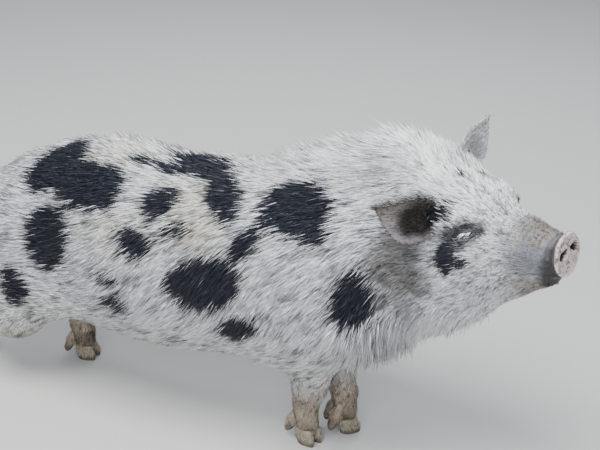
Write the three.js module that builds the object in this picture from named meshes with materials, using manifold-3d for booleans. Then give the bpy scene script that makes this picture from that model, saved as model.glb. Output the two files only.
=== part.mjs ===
// A small spotted pig standing on four feet, life size, as a still model parted into its body parts.
// Millimetres. +X points to the head, +Y to the pig's left side, +Z up, and the feet stand on Z = 0.
import * as THREE from "three";
import { mergeVertices } from "three/addons/utils/BufferGeometryUtils.js";
import Module from "manifold-3d";

const wasm = await Module();
wasm.setup();

// ---- Driving dimensions ----

const GAP = 0.6; // the width of every cut that parts the body

// Trunk, in the body's own frame: X = 0 lies between the front feet.
const BACK_Z = 412; // the back's height behind the shoulder
const BELLY_Z = 106; // the belly's lowest point
const TRUNK_Z = (BACK_Z + BELLY_Z) / 2; // the height of the trunk's axis
const TRUNK_DEEP = (BACK_Z - BELLY_Z) / 2; // its half height
const TRUNK_WIDE = 134; // its half width at the ribs
const RUMP_X = -612; // the back of the hams

// Head, in its own frame: +X along the snout, the origin below the ears.
const HEAD_AT = V(135, 0, 378);
const HEAD_TURN = degrees(-20); // towards the pig's right
const HEAD_PITCH = degrees(7); // nose up
const HEAD_ROLL = degrees(12); // the right ear is the lower one
const SNOUT_X = 190; // from the origin to the face of the snout disc
const SNOUT_WIDE = 54;
const SNOUT_HIGH = 58;
const DISC_THICK = 9;
const EYE_AT = V(76, 43, 26); // the left eye
const EYE_R = 11;
const MOUTH_Z = -24; // the height of the mouth line
const EAR_THICK = 5;
const EARS = {
  right: {
    side: -1,
    root: V(40, -50, 40),
    lift: V(8, -24, 10),
    tip: V(-20, -98, 69),
    open: V(0.62, -0.62, 0.45),
    frontEdge: [12, 20, 27, 30, 28, 22, 13, 2], // from the ear's middle, root to tip
    rearEdge: [13, 18, 24, 30, 36, 37, 24, 2],
  },
  left: {
    side: 1,
    root: V(6, 46, 50),
    lift: V(2, 14, 24),
    tip: V(0, 124, 97),
    open: V(0.95, 0.1, 0.2),
    frontEdge: [24, 23, 24, 25, 25, 20, 11, 2],
    rearEdge: [13, 17, 21, 25, 28, 26, 16, 2],
  },
};
const TAIL_LONG = 190;

// Feet: where each one stands, and the heights of the cuts across a leg.
const HOOF_TOP_Z = 24;
const CARPUS_Z = 94;
const HOCK_Z = 104;
const STIFLE = { right: V(-506, -76, 134), left: V(-412, 72, 152) };
const FEET = {
  front_right: { x: -32, y: -24, turn: degrees(-20), side: -1, front: true },
  front_left: { x: 8, y: 26, turn: degrees(35), side: 1, front: true },
  hind_right: { x: -600, y: -42, turn: degrees(-12), side: -1, front: false },
  hind_left: { x: -448, y: 26, turn: degrees(4), side: 1, front: false },
};

const COLOURS = {
  coat: [0.72, 0.73, 0.76],
  coat_roughness: 0.8,
  bare_skin: [0.72, 0.53, 0.47],
  eye: [0.03, 0.02, 0.015],
  claw: [0.55, 0.45, 0.36],
};

// ---- Small helpers ----

function V(x, y, z) {
  return new THREE.Vector3(x, y, z);
}

function degrees(d) {
  return (d * Math.PI) / 180;
}

/** The pose of a piece: turned by yaw about Z, then pitch about Y (nose up), then roll about X. */
function pose(at, yaw = 0, pitch = 0, roll = 0) {
  const turn = new THREE.Euler(roll, -pitch, yaw, "ZYX");
  return new THREE.Matrix4().makeRotationFromEuler(turn).setPosition(at);
}

/** The point seen in a mirror across the pig's middle plane for side -1, or itself for side 1. */
function onSide(x, y, z, side) {
  return V(x, y * side, z);
}

function onBothSides(make) {
  return [make(1), make(-1)];
}

/** A curve's value at t from a row of values at even steps. */
function along(values, t) {
  const at = THREE.MathUtils.clamp(t, 0, 1) * (values.length - 1);
  const n = Math.min(Math.floor(at), values.length - 2);
  return THREE.MathUtils.lerp(values[n], values[n + 1], at - n);
}

// ---- Flesh as a field: about the distance from a point to the skin, below 0 inside ----

function smaller(a, b, soft) {
  const near = Math.max(soft - Math.abs(a - b), 0) / soft;
  return Math.min(a, b) - (near * near * soft) / 4;
}

/** Masses joined into one, with fillets about as wide as soft where they meet. */
function joined(soft, ...masses) {
  return (p) => masses.reduce((d, mass) => smaller(d, mass(p), soft), 1e6);
}

/** An ellipsoid. */
function oval(at, radii, yaw = 0, pitch = 0, roll = 0) {
  const inward = pose(at, yaw, pitch, roll).invert();
  const q = V(0, 0, 0);
  const slope = V(0, 0, 0);
  return (p) => {
    q.copy(p).applyMatrix4(inward).divide(radii);
    slope.copy(q).divide(radii);
    const size = q.length();
    return (size * (size - 1)) / Math.max(slope.length(), 1e-6);
  };
}

/** A tapering limb between two points, its width in Y the share wide of its thickness. */
function limb(from, to, fromR, toR, wide = 1) {
  const stretch = V(1, 1 / wide, 1);
  const axis = to.clone().sub(from).multiply(stretch);
  const q = V(0, 0, 0);
  return (p) => {
    q.copy(p).sub(from).multiply(stretch);
    const t = THREE.MathUtils.clamp(q.dot(axis) / axis.lengthSq(), 0, 1);
    const radius = THREE.MathUtils.lerp(fromR, toR, t);
    return (q.addScaledVector(axis, -t).length() - radius) * Math.min(1, wide);
  };
}

/** A mass modelled in the frame of a matrix. */
function placed(matrix, mass) {
  const inward = matrix.clone().invert();
  const q = V(0, 0, 0);
  return (p) => mass(q.copy(p).applyMatrix4(inward));
}

// ---- The body's masses ----

function trunkFlesh() {
  const ribs = oval(V(-136, 0, TRUNK_Z + 7), V(220, TRUNK_WIDE - 6, TRUNK_DEEP - 9));
  const belly = oval(V(-290, 0, TRUNK_Z - 18), V(190, TRUNK_WIDE - 2, TRUNK_DEEP - 14));
  const loin = oval(V(-356, 0, TRUNK_Z + 26), V(140, 106, TRUNK_DEEP - 34));
  const chest = oval(V(-6, 0, TRUNK_Z + 12), V(96, 86, 106));
  const rump = oval(V(RUMP_X + 150, 0, TRUNK_Z), V(132, 100, 104), 0, degrees(26));
  const shoulders = onBothSides((side) =>
    oval(onSide(-14, 70, TRUNK_Z + 6, side), V(84, 46, 104), 0, degrees(-12)),
  );
  const hams = onBothSides((side) =>
    oval(onSide(RUMP_X + 112, 60, TRUNK_Z - 36, side), V(98, 48, 112), degrees(12) * side, degrees(16)),
  );
  const flankFolds = onBothSides((side) => oval(onSide(-425, 66, 174, side), V(62, 32, 40)));
  return joined(44, ribs, belly, loin, chest, rump, ...shoulders, ...hams, ...flankFolds);
}

function neckFlesh() {
  const core = limb(V(-30, 0, 296), V(96, 10, 356), 118, 92, 0.9);
  const crest = limb(V(-48, 0, 416), V(70, 4, 460), 38, 38, 0.8);
  const throat = limb(V(4, 0, 248), V(110, 4, 297), 68, 60);
  return joined(50, core, crest, throat);
}

function frontLegFlesh({ x, y, side }) {
  const elbow = onSide(-14, 58, 205, side);
  const carpus = V(x * 0.5 - 12, y + 3 * side, CARPUS_Z);
  const cannon = V(x - 4, y, 66);
  return joined(10, limb(elbow, carpus, 48, 25, 0.8), limb(carpus, cannon, 24, 20, 0.9), footFlesh(x, y));
}

function hindLegFlesh({ x, y, side }) {
  const hip = onSide(x * 0.15 + 0.85 * (RUMP_X + 122), 64, 232, side);
  const stifle = side > 0 ? STIFLE.left : STIFLE.right;
  const hock = V(x - 20, y + 4 * side, HOCK_Z);
  const cannon = V(x - 4, y, 60);
  const thigh = joined(30, limb(hip, stifle, 66, 50, 0.72), limb(stifle, hock, 50, 26, 0.8));
  return joined(10, thigh, limb(hock, cannon, 25, 20, 0.85), footFlesh(x, y));
}

function footFlesh(x, y) {
  return limb(V(x - 3, y, 62), V(x + 2, y, 20), 18.5, 17);
}

/** The head's masses in its own frame. */
function headFlesh() {
  const cranium = oval(V(0, 0, 26), V(82, 66, 56));
  const forehead = oval(V(43, 0, 29), V(43, 49, 37));
  const muzzle = limb(V(70, 0, 0), V(SNOUT_X - 24, 0, 0), 50, 27);
  const jaw = limb(V(0, 0, -58), V(100, 0, -50), 47, 28);
  const chin = limb(V(100, 0, -48), V(160, 0, -33), 27, 18);
  const cheeks = onBothSides((side) => oval(onSide(24, 38, -28, side), V(78, 36, 54)));
  const jowls = onBothSides((side) => oval(onSide(45, 22, -70, side), V(52, 30, 32)));
  const brows = onBothSides((side) => oval(onSide(64, 32, 40, side), V(25, 15, 12)));
  const poll = limb(V(-20, 0, 60), V(30, 0, 52), 36, 26);
  const earRoots = onBothSides((side) => oval(onSide(14, 38, 44, side), V(28, 20, 20)));
  return joined(24, cranium, forehead, poll, muzzle, jaw, chin, ...cheeks, ...jowls, ...brows, ...earRoots);
}

const HEAD_POSE = pose(HEAD_AT, HEAD_TURN, HEAD_PITCH, HEAD_ROLL);
const body = joined(42, trunkFlesh(), neckFlesh(), placed(HEAD_POSE, headFlesh()));
const legs = Object.values(FEET).map((foot) => (foot.front ? frontLegFlesh(foot) : hindLegFlesh(foot)));

/** The whole animal but its ears, tail and claws; a leg flows into the body, not into the next leg. */
function flesh(p) {
  const d = body(p);
  return legs.reduce((least, leg) => Math.min(least, smaller(d, leg(p), 20)), d);
}

// ---- Meshes from the field ----

const CELL_CORNERS = [0, 1, 2, 3, 4, 5, 6, 7].map((n) => [n & 1, (n >> 1) & 1, n >> 2]);
const CELL_EDGES = CELL_CORNERS.flatMap((_, a) =>
  [1, 2, 4].filter((bit) => !(a & bit)).map((bit) => [a, a | bit]),
);

/** The field's skin inside a box, as a closed mesh of quads about one cell wide. */
function skinOf(field, low, high, cell) {
  const count = high.clone().sub(low).divideScalar(cell).ceil().addScalar(1);
  const inner = new THREE.Box3(low.clone().addScalar(cell), high.clone().addScalar(-cell));
  const boxed = (p) => Math.max(field(p), outsideOf(inner, p));
  const corner = (i, j, k) => V(i, j, k).multiplyScalar(cell).add(low);
  const at = (i, j, k) => (k * count.y + j) * count.x + i;

  const values = new Float32Array(count.x * count.y * count.z);
  eachCell(count, 0, (i, j, k) => (values[at(i, j, k)] = boxed(corner(i, j, k))));

  const points = [];
  const pointOf = new Int32Array(values.length);
  eachCell(count, 1, (i, j, k) => {
    const value = CELL_CORNERS.map(([a, b, c]) => values[at(i + a, j + b, k + c)]);
    const crossed = CELL_EDGES.filter(([a, b]) => value[a] < 0 !== value[b] < 0);
    if (!crossed.length) return;
    const middle = V(0, 0, 0);
    for (const [a, b] of crossed) {
      const [from, to] = [a, b].map((n) => corner(i, j, k).addScaledVector(V(...CELL_CORNERS[n]), cell));
      middle.add(from.lerp(to, value[a] / (value[a] - value[b])));
    }
    pointOf[at(i, j, k)] = points.length;
    points.push(settled(boxed, middle.divideScalar(crossed.length), cell));
  });

  const index = [];
  eachCell(count, 1, (i, j, k) => {
    const inside = values[at(i, j, k)] < 0;
    const face = (next, u, v) => {
      if (inside === values[next] < 0 || Math.min(i, j, k) < 1) return;
      const ring = [[0, 0], [1, 0], [1, 1], [0, 1]].map(([m, n]) =>
        pointOf[at(i - m * u[0] - n * v[0], j - m * u[1] - n * v[1], k - m * u[2] - n * v[2])]);
      index.push(...quad(points, inside ? ring : ring.reverse()));
    };
    face(at(i + 1, j, k), [0, 1, 0], [0, 0, 1]);
    face(at(i, j + 1, k), [0, 0, 1], [1, 0, 0]);
    face(at(i, j, k + 1), [1, 0, 0], [0, 1, 0]);
  });
  return meshOf(points, index);
}

/** Calls visit for every grid index below count, leaving out the last few on each axis. */
function eachCell(count, last, visit) {
  for (let k = 0; k < count.z - last; k++)
    for (let j = 0; j < count.y - last; j++)
      for (let i = 0; i < count.x - last; i++) visit(i, j, k);
}

/** How far a point is outside a box, below 0 inside it. */
function outsideOf(box, p) {
  return Math.max(
    box.min.x - p.x, p.x - box.max.x,
    box.min.y - p.y, p.y - box.max.y,
    box.min.z - p.z, p.z - box.max.z,
  );
}

/** A point moved onto the field's skin along its slope. */
function settled(field, p, cell) {
  const step = 0.5;
  for (let pass = 0; pass < 2; pass++) {
    const d = field(p);
    const slope = V(
      field(V(p.x + step, p.y, p.z)) - d,
      field(V(p.x, p.y + step, p.z)) - d,
      field(V(p.x, p.y, p.z + step)) - d,
    ).divideScalar(step);
    const move = -d / Math.max(slope.lengthSq(), 0.2);
    p.addScaledVector(slope, THREE.MathUtils.clamp(move, -cell / 3, cell / 3));
  }
  return p;
}

/** Two triangles over a ring of four points, parted along the shorter diagonal. */
function quad(points, [a, b, c, d]) {
  const short = points[a].distanceTo(points[c]) < points[b].distanceTo(points[d]);
  return short ? [a, b, c, a, c, d] : [a, b, d, b, c, d];
}

function meshOf(points, index) {
  const geometry = new THREE.BufferGeometry().setFromPoints(points);
  geometry.setIndex(index);
  return geometry;
}

/** A closed mesh through rings of as many points each; each end is a fan about its middle. */
function lofted(rings) {
  const n = rings[0].length;
  const points = rings.flat();
  const index = [];
  const next = (i) => (i + 1) % n;
  for (let base = 0; base < points.length - n; base += n)
    for (let i = 0; i < n; i++) {
      const [a, b] = [base + i, base + next(i)];
      index.push(a, b, b + n, a, b + n, a + n);
    }
  for (const [ring, base] of [[rings[0], 0], [rings.at(-1), points.length - n]]) {
    const middle = points.length;
    for (let i = 0; i < n; i++) {
      const [a, b] = [base + i, base + next(i)];
      index.push(middle, ...(base ? [a, b] : [b, a]));
    }
    points.push(ring.reduce((sum, p) => sum.add(p), V(0, 0, 0)).divideScalar(n));
  }
  return meshOf(points, index);
}

/** A ring of n points from a function of the angle. */
function ring(n, pointAt) {
  return Array.from({ length: n }, (_, i) => pointAt((2 * Math.PI * i) / n));
}

// ---- Solids ----

function solidOf(geometry, matrix = new THREE.Matrix4()) {
  const bare = new THREE.BufferGeometry();
  bare.setAttribute("position", geometry.getAttribute("position").clone());
  bare.setIndex(geometry.index);
  const merged = mergeVertices(bare.applyMatrix4(matrix), 1e-3);
  const mesh = new wasm.Mesh({
    numProp: 3,
    vertProperties: merged.attributes.position.array,
    triVerts: new Uint32Array(merged.index.array),
  });
  return new wasm.Manifold(mesh);
}

function geometryOf(solid) {
  const { numProp, vertProperties, triVerts, numVert } = solid.getMesh();
  const xyz = new Float32Array(numVert * 3);
  for (let i = 0; i < numVert; i++) {
    xyz.set(vertProperties.subarray(i * numProp, i * numProp + 3), i * 3);
  }
  const geometry = new THREE.BufferGeometry();
  geometry.setAttribute("position", new THREE.BufferAttribute(xyz, 3));
  geometry.setIndex(new THREE.BufferAttribute(triVerts, 1));
  return geometry;
}

/** The half of a solid ahead of a plane through a point, left short of the plane by half a gap. */
function ahead(solid, at, normal) {
  const n = normal.clone().normalize();
  return solid.trimByPlane(n.toArray(), at.dot(n) + GAP / 2);
}

function behind(solid, at, normal) {
  return ahead(solid, at, normal.clone().negate());
}

/** A block between two corners in the frame of a matrix, grown by a margin on every side. */
function block(low, high, matrix, margin = 0) {
  const size = high.clone().sub(low).addScalar(2 * margin);
  const middle = low.clone().add(high).multiplyScalar(0.5);
  const box = new THREE.BoxGeometry(...size.toArray());
  return solidOf(box.translate(...middle.toArray()), matrix);
}

/** A solid swollen by a margin along its own normals. */
function grown(solid, margin) {
  const geometry = geometryOf(solid);
  geometry.computeVertexNormals();
  const { position, normal } = geometry.attributes;
  for (let i = 0; i < position.count; i++) {
    const p = V(0, 0, 0).fromBufferAttribute(position, i);
    const n = V(0, 0, 0).fromBufferAttribute(normal, i);
    position.setXYZ(i, ...p.addScaledVector(n, margin).toArray());
  }
  return solidOf(geometry);
}

/** The largest of a solid's separate bodies. */
function largest(solid) {
  return solid.decompose().reduce((a, b) => (a.volume() > b.volume() ? a : b));
}

// ---- Cuts that part the body ----

const HEAD_BACK = V(-34, 0, 0); // in the head's frame
const HEAD_BACK_NORMAL = V(1, 0, 0.12);
const NECK_BACK = V(-6, 0, 300);
const NECK_BACK_NORMAL = V(0.87, 0, 0.4);

function inHeadFrame(p) {
  return p.clone().applyMatrix4(HEAD_POSE);
}

function headDirection(v) {
  return v.clone().transformDirection(HEAD_POSE);
}

/** The region of a leg below a slanting cut from the flank down to the breast or groin. */
function legRegion({ side, front }, margin = 0) {
  const slant = front ? degrees(36) : degrees(44);
  const inner = front ? V(-20, 2 * side, 112) : V(-540, 2 * side, 130);
  const reach = front ? 78 : 132;
  const frame = pose(inner, 0, 0, slant * side);
  const cutter = block(V(-reach, -400, -400), V(reach, 400, 0), frame, margin);
  const outward = V(0, side, 0);
  return cutter.trimByPlane(outward.toArray(), 1.5 - margin);
}

// ---- The pieces ----

const pieces = new THREE.Group();

function piece(name, solid, colour, roughness) {
  const material = new THREE.MeshStandardMaterial({
    color: new THREE.Color(...colour),
    roughness,
    metalness: 0,
  });
  const mesh = new THREE.Mesh(geometryOf(largest(solid)), material);
  mesh.name = name;
  pieces.add(mesh);
}

function fleshPiece(name, solid) {
  piece(name, solid, COLOURS.coat, COLOURS.coat_roughness);
}

/** An ellipse of the snout in the head's frame at a distance along it, grown by a margin. */
function snoutRing(x, margin) {
  return ring(20, (angle) => {
    const y = (SNOUT_WIDE / 2 + margin) * Math.cos(angle);
    const z = (SNOUT_HIGH / 2 + margin) * Math.sin(angle);
    return V(x, y, z);
  });
}

function snoutDisc() {
  const back = SNOUT_X - DISC_THICK;
  const rings = [
    snoutRing(back + GAP, -4),
    snoutRing(back + 3, -0.5),
    snoutRing(SNOUT_X - 3, 0),
    snoutRing(SNOUT_X, -3),
  ];
  const nostrils = onBothSides((side) => {
    const hole = new THREE.SphereGeometry(1, 10, 6).scale(9, 4.6, 6.2);
    return solidOf(hole, pose(onSide(SNOUT_X, 11.5, 1, side), 0, 0, degrees(-28) * side));
  });
  const disc = nostrils.reduce((solid, hole) => solid.subtract(hole), solidOf(lofted(rings)));
  piece("snout_disc", disc.transform(HEAD_POSE.elements), COLOURS.bare_skin, 0.5);
}

/** An ear as a cupped leaf: it rises from the head along lift, then bends over to its tip. */
function earSolid({ side, root, lift, tip, open, frontEdge, rearEdge }) {
  const spine = new THREE.QuadraticBezierCurve3(root, root.clone().add(lift), tip);
  const rings = [0, 0.12, 0.26, 0.4, 0.55, 0.7, 0.83, 0.93, 0.99].map((t) => {
    const out = spine.getTangent(t);
    const facing = open.clone().addScaledVector(out, -open.dot(out)).normalize();
    const rearwards = V(0, 0, 0).crossVectors(facing, out).multiplyScalar(-side);
    const cup = along([26, 20, 14, 11, 9, 7, 4, 0], t);
    const points = ring(14, (angle) => {
      const s = Math.cos(angle);
      const across = s * along(s > 0 ? rearEdge : frontEdge, t);
      const thick = (EAR_THICK / 2) * Math.sin(angle) * (1 - 0.5 * s * s);
      return spine.getPoint(t)
        .addScaledVector(rearwards, across)
        .addScaledVector(facing, cup * (s * s - 0.5) + thick);
    });
    return side > 0 ? points.reverse() : points;
  });
  return solidOf(lofted(rings), HEAD_POSE);
}

function ears(head) {
  const skull = grown(head, GAP);
  for (const [word, ear] of Object.entries(EARS)) {
    piece(`ear_${word}`, earSolid(ear).subtract(skull), COLOURS.bare_skin, 0.7);
  }
}

function eyeSolid(side, margin = 0) {
  const ball = new THREE.SphereGeometry(EYE_R + margin, 10, 6);
  return solidOf(ball, pose(inHeadFrame(onSide(...EYE_AT.toArray(), side))));
}

function headPieces() {
  const disc = SNOUT_X - DISC_THICK;
  const whole = solidOf(skinOf(flesh, V(40, -190, 190), V(340, 140, 520), 15.2));
  const cut = behind(
    ahead(whole, inHeadFrame(HEAD_BACK), headDirection(HEAD_BACK_NORMAL)),
    inHeadFrame(V(disc, 0, 0)),
    headDirection(V(1, 0, 0)),
  );
  const jawBlock = (margin) => block(V(58, -90, -160), V(SNOUT_X, 90, MOUTH_Z), HEAD_POSE, margin);
  fleshPiece("lower_jaw", cut.intersect(jawBlock(0)));
  const head = largest(cut.subtract(jawBlock(GAP)));
  const eyed = onBothSides((side) => eyeSolid(side, GAP)).reduce((a, b) => a.subtract(b), head);
  fleshPiece("head", eyed);
  ears(head);
  snoutDisc();
  piece("eye_left", eyeSolid(1), COLOURS.eye, 0.15);
  piece("eye_right", eyeSolid(-1), COLOURS.eye, 0.15);
}

function neckAndTrunk() {
  const neck = solidOf(skinOf(flesh, V(-190, -190, 60), V(260, 190, 540), 27));
  const neckHead = behind(neck, inHeadFrame(HEAD_BACK), headDirection(HEAD_BACK_NORMAL));
  fleshPiece("neck", withoutLegs(ahead(neckHead, NECK_BACK, NECK_BACK_NORMAL)));
  const whole = solidOf(skinOf(flesh, V(-700, -200, 30), V(200, 200, 530), 32));
  const trunk = largest(withoutLegs(behind(whole, NECK_BACK, NECK_BACK_NORMAL)));
  fleshPiece("trunk", trunk);
  tail(trunk);
}

function withoutLegs(solid) {
  return Object.values(FEET).reduce((left, foot) => left.subtract(legRegion(foot, GAP)), solid);
}

/** The tail, hanging from the rump with a slight bend. */
function tail(trunk) {
  const spine = new THREE.CatmullRomCurve3([
    V(RUMP_X + 44, 0, 300),
    V(RUMP_X + 6, 1, 300),
    V(RUMP_X - 20, 4, 264),
    V(RUMP_X - 22, 10, 264 - TAIL_LONG * 0.38),
    V(RUMP_X - 32, 12, 306 - TAIL_LONG * 0.94),
  ]);
  const rings = Array.from({ length: 10 }, (_, n) => {
    const t = n / 9;
    const middle = spine.getPoint(t);
    const down = spine.getTangent(t);
    const u = V(0, 1, 0).cross(down).normalize();
    const v = V(0, 0, 0).crossVectors(down, u);
    const radius = along([15, 12, 9.5, 8, 7.5, 9, 10, 9, 6, 2], t);
    return ring(8, (a) =>
      middle.clone().addScaledVector(u, radius * Math.cos(a)).addScaledVector(v, radius * Math.sin(a)),
    );
  });
  fleshPiece("tail", solidOf(lofted(rings)).subtract(grown(trunk, GAP)));
}

/** One claw of a foot, standing on its flat sole; the two claws of a foot mirror each other. */
function clawSolid({ x, y, turn }, side) {
  const outline = (z, long, wide, shift) =>
    ring(12, (angle) => {
      const toe = Math.cos(angle);
      const reach = toe > 0 ? 0.6 : 0.4;
      const narrow = 1 - 0.3 * Math.max(toe, 0);
      const across = 0.7 + (wide / 2) * (1 + narrow * Math.sin(angle));
      return V(shift + long * reach * toe, across * side, z);
    });
  const rings = [
    outline(0, 31, 15.5, 4),
    outline(5, 32, 16.5, 3.5),
    outline(14, 31, 16.5, 1.5),
    outline(HOOF_TOP_Z, 28, 15.5, -1),
  ];
  const upright = side > 0 ? rings : rings.map((points) => points.reverse());
  return solidOf(lofted(upright), pose(V(x, y, 0), turn));
}

/** One of the two small claws behind the pastern, pointing down and back. */
function dewclawSolid({ x, y, turn }, side) {
  const root = V(-10, 10 * side, 50);
  const tip = V(-26, 14 * side, 11);
  const axis = tip.clone().sub(root).normalize();
  const u = V(0, 1, 0);
  const v = V(0, 0, 0).crossVectors(axis, u).normalize();
  const rings = [[-0.1, 8], [0.4, 11], [0.85, 8.5], [1, 4]].map(([t, r]) =>
    ring(6, (a) => {
      const middle = root.clone().lerp(tip, t);
      return middle.addScaledVector(u, r * Math.cos(a)).addScaledVector(v, 0.8 * r * Math.sin(a));
    }),
  );
  return solidOf(lofted(rings), pose(V(x, y, 0), turn));
}

function leg(name, foot) {
  const { x, y, side, front } = foot;
  const region = legRegion(foot);
  const joint = front ? V(x, 0, CARPUS_Z) : V(x - 12, 0, HOCK_Z + 6);
  const upwards = front ? V(0, 0, 1) : V(0.5, 0, 0.87);
  const low = V(front ? -130 : -700, side > 0 ? -40 : -190, 50);
  const high = V(front ? 110 : -360, side > 0 ? 190 : 40, front ? 280 : 380);
  const upper = solidOf(skinOf(flesh, low, high, 22)).intersect(region);
  fleshPiece(`${name}_upper`, ahead(upper, joint, upwards));

  const shank = skinOf(flesh, V(x - 85, y - 70, 4), V(x + 75, y + 70, joint.z + 55), 14);
  const lower = behind(solidOf(shank).intersect(region), joint, upwards);
  const footless = largest(ahead(lower, V(0, 0, HOOF_TOP_Z + GAP / 2), V(0, 0, 1)));
  fleshPiece(`${name}_lower`, footless);
  const around = grown(footless, GAP);
  for (const [word, across] of [["left", 1], ["right", -1]]) {
    piece(`${name}_claw_${word}`, clawSolid(foot, across), COLOURS.claw, 0.55);
    piece(`${name}_dewclaw_${word}`, dewclawSolid(foot, across).subtract(around), COLOURS.claw, 0.55);
  }
}

headPieces();
neckAndTrunk();
for (const [name, foot] of Object.entries(FEET)) leg(name, foot);

/** Everything moved so that the frame's origin is at the middle of the box, on the floor. */
function centred(group) {
  const middle = new THREE.Box3().setFromObject(group).getCenter(V(0, 0, 0));
  for (const mesh of group.children) mesh.geometry.translate(-middle.x, -middle.y, 0);
  return group;
}

const group = centred(pieces);
group.name = "pig";
export default group;
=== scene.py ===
"""A small spotted pig as a still, life-size model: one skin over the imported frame, a coat of bristles,
eyes, snout disc and claws, on a plain studio floor.

Lengths are millimetres in the row frame until a mesh is written, when they become metres.
The head has a frame of its own: X along the snout, Y to the pig's left, Z up from the mouth to the poll.
"""

import math
from contextlib import contextmanager

import bmesh
import bpy
import numpy as np
from mathutils import Matrix, Vector
from mathutils.bvhtree import BVHTree
from mathutils.kdtree import KDTree


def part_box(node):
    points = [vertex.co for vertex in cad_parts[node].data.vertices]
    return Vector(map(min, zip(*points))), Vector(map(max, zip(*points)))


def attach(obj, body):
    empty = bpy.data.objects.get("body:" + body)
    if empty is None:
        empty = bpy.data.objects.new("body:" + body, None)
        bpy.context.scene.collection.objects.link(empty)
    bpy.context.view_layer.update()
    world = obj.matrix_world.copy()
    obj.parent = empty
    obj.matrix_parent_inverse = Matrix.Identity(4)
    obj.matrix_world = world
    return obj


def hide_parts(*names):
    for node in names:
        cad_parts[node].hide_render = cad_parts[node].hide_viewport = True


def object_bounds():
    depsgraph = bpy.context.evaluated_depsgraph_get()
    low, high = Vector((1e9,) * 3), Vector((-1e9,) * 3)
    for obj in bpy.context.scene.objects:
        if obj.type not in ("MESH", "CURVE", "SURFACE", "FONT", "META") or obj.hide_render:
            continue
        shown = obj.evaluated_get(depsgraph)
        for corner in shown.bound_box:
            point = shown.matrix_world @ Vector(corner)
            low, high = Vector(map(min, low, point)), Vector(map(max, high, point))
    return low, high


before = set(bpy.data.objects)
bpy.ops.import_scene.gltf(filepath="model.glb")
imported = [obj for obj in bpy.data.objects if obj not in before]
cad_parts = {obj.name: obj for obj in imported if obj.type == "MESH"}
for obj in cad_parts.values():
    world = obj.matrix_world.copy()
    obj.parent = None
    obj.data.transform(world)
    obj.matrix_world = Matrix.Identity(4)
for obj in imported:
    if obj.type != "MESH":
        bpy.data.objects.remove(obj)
CAD_LOW, CAD_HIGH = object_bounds()

MM = 0.001
LEGS = ("front_right", "front_left", "hind_right", "hind_left")
FLESH = ["head", "lower_jaw", "neck", "trunk", "tail"]
FLESH += [f"{leg}_{part}" for leg in LEGS for part in ("upper", "lower")]
EARS = ("ear_right", "ear_left")

# ---- Numbers and vectors ----


def unit(v):
    return v / np.maximum(np.linalg.norm(v, axis=-1, keepdims=True), 1e-9)


def step(x, low, high):
    """Rises smoothly from 0 at low to 1 at high."""
    t = np.clip((x - low) / (high - low), 0, 1)
    return t * t * (3 - 2 * t)


def bump(x, middle, half):
    """1 at the middle, falling smoothly to 0 at half either side."""
    return 1 - step(np.abs(x - middle), 0, half)


def mix(a, b, share):
    return a + (b - a) * share


def blend(colour, other, share):
    """Colours mixed with another, each by its own share."""
    return mix(colour, np.asarray(other), share[:, None])


def reach(p, at, radii):
    """How far from an ellipsoid's middle points lie: 1 on its surface."""
    return np.linalg.norm((p - np.array(at)) / np.array(radii), axis=1)


def across(v, n):
    """The unit direction of v with its part along n taken out."""
    return unit(v - n * np.sum(v * n, axis=1, keepdims=True))


def noise(p, scale, seed):
    """Smooth noise from -1 to 1 at points, with bumps about scale wide."""
    q = p / scale + seed * 7.31
    cell = np.floor(q).astype(np.int64)
    f = q - cell
    f = f * f * (3 - 2 * f)
    total = np.zeros(len(p))
    for corner in np.ndindex(2, 2, 2):
        x, y, z = (cell + corner).T
        n = (x * 73856093) ^ (y * 19349663) ^ (z * 83492791) ^ (seed * 2654435)
        n = ((n ^ (n >> 13)) * 1274126177) & 0x7FFFFFFF
        value = ((n ^ (n >> 16)) & 0xFFFF) / 32767.5 - 1
        total += value * np.prod(np.where(corner, f, 1 - f), axis=1)
    return total


def low_high(*nodes):
    """The corners of the box round some CAD nodes, in millimetres."""
    boxes = np.array([[list(c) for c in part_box(n)] for n in nodes]) / MM
    return boxes[:, 0].min(0), boxes[:, 1].max(0)


def centre(node):
    low, high = low_high(node)
    return (low + high) / 2


# ---- The head's frame, from the eyes and the snout disc ----

EYE_AHEAD = 76  # the eyes' place in the head's frame
EYE_UP = 26
DISC_AHEAD = 185.8  # the middle of the snout disc


def head_frame():
    eyes = (centre("eye_left") + centre("eye_right")) / 2
    y = unit(centre("eye_left") - centre("eye_right"))
    along = unit(centre("snout_disc") - eyes)
    up = np.cross(along, y)
    drop = math.atan2(EYE_UP, DISC_AHEAD - EYE_AHEAD)
    x = along * math.cos(drop) + up * math.sin(drop)
    z = up * math.cos(drop) - along * math.sin(drop)
    return eyes - x * EYE_AHEAD - z * EYE_UP, np.stack([x, y, z])


HEAD_AT, HEAD_AXES = head_frame()


def to_head(p):
    return (p - HEAD_AT) @ HEAD_AXES.T


def from_head(p):
    return p @ HEAD_AXES + HEAD_AT


# ---- Measures of the body, from the frame ----

TRUNK_LOW, TRUNK_HIGH = low_high("trunk")
AXIS_Z = (TRUNK_LOW[2] + TRUNK_HIGH[2]) / 2  # the trunk's axis
FRONT_X = centre("front_right_claw_left")[0]
TAIL_AT = centre("tail")
EYE_R = (low_high("eye_left")[1] - low_high("eye_left")[0]).mean() / 2
EYES = {1: to_head(centre("eye_left")), -1: to_head(centre("eye_right"))}


def ear_line(node):
    """An ear's root and tip: the ends of its longest run from the head's middle."""
    p = vertices_of(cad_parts[node].data)
    h = to_head(p)
    out = np.abs(h[:, 1])
    root = p[out < np.percentile(out, 12)].mean(0)
    tip = p[np.linalg.norm(p - root, axis=1).argmax()]
    return root, tip


# ---- Meshes ----


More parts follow.
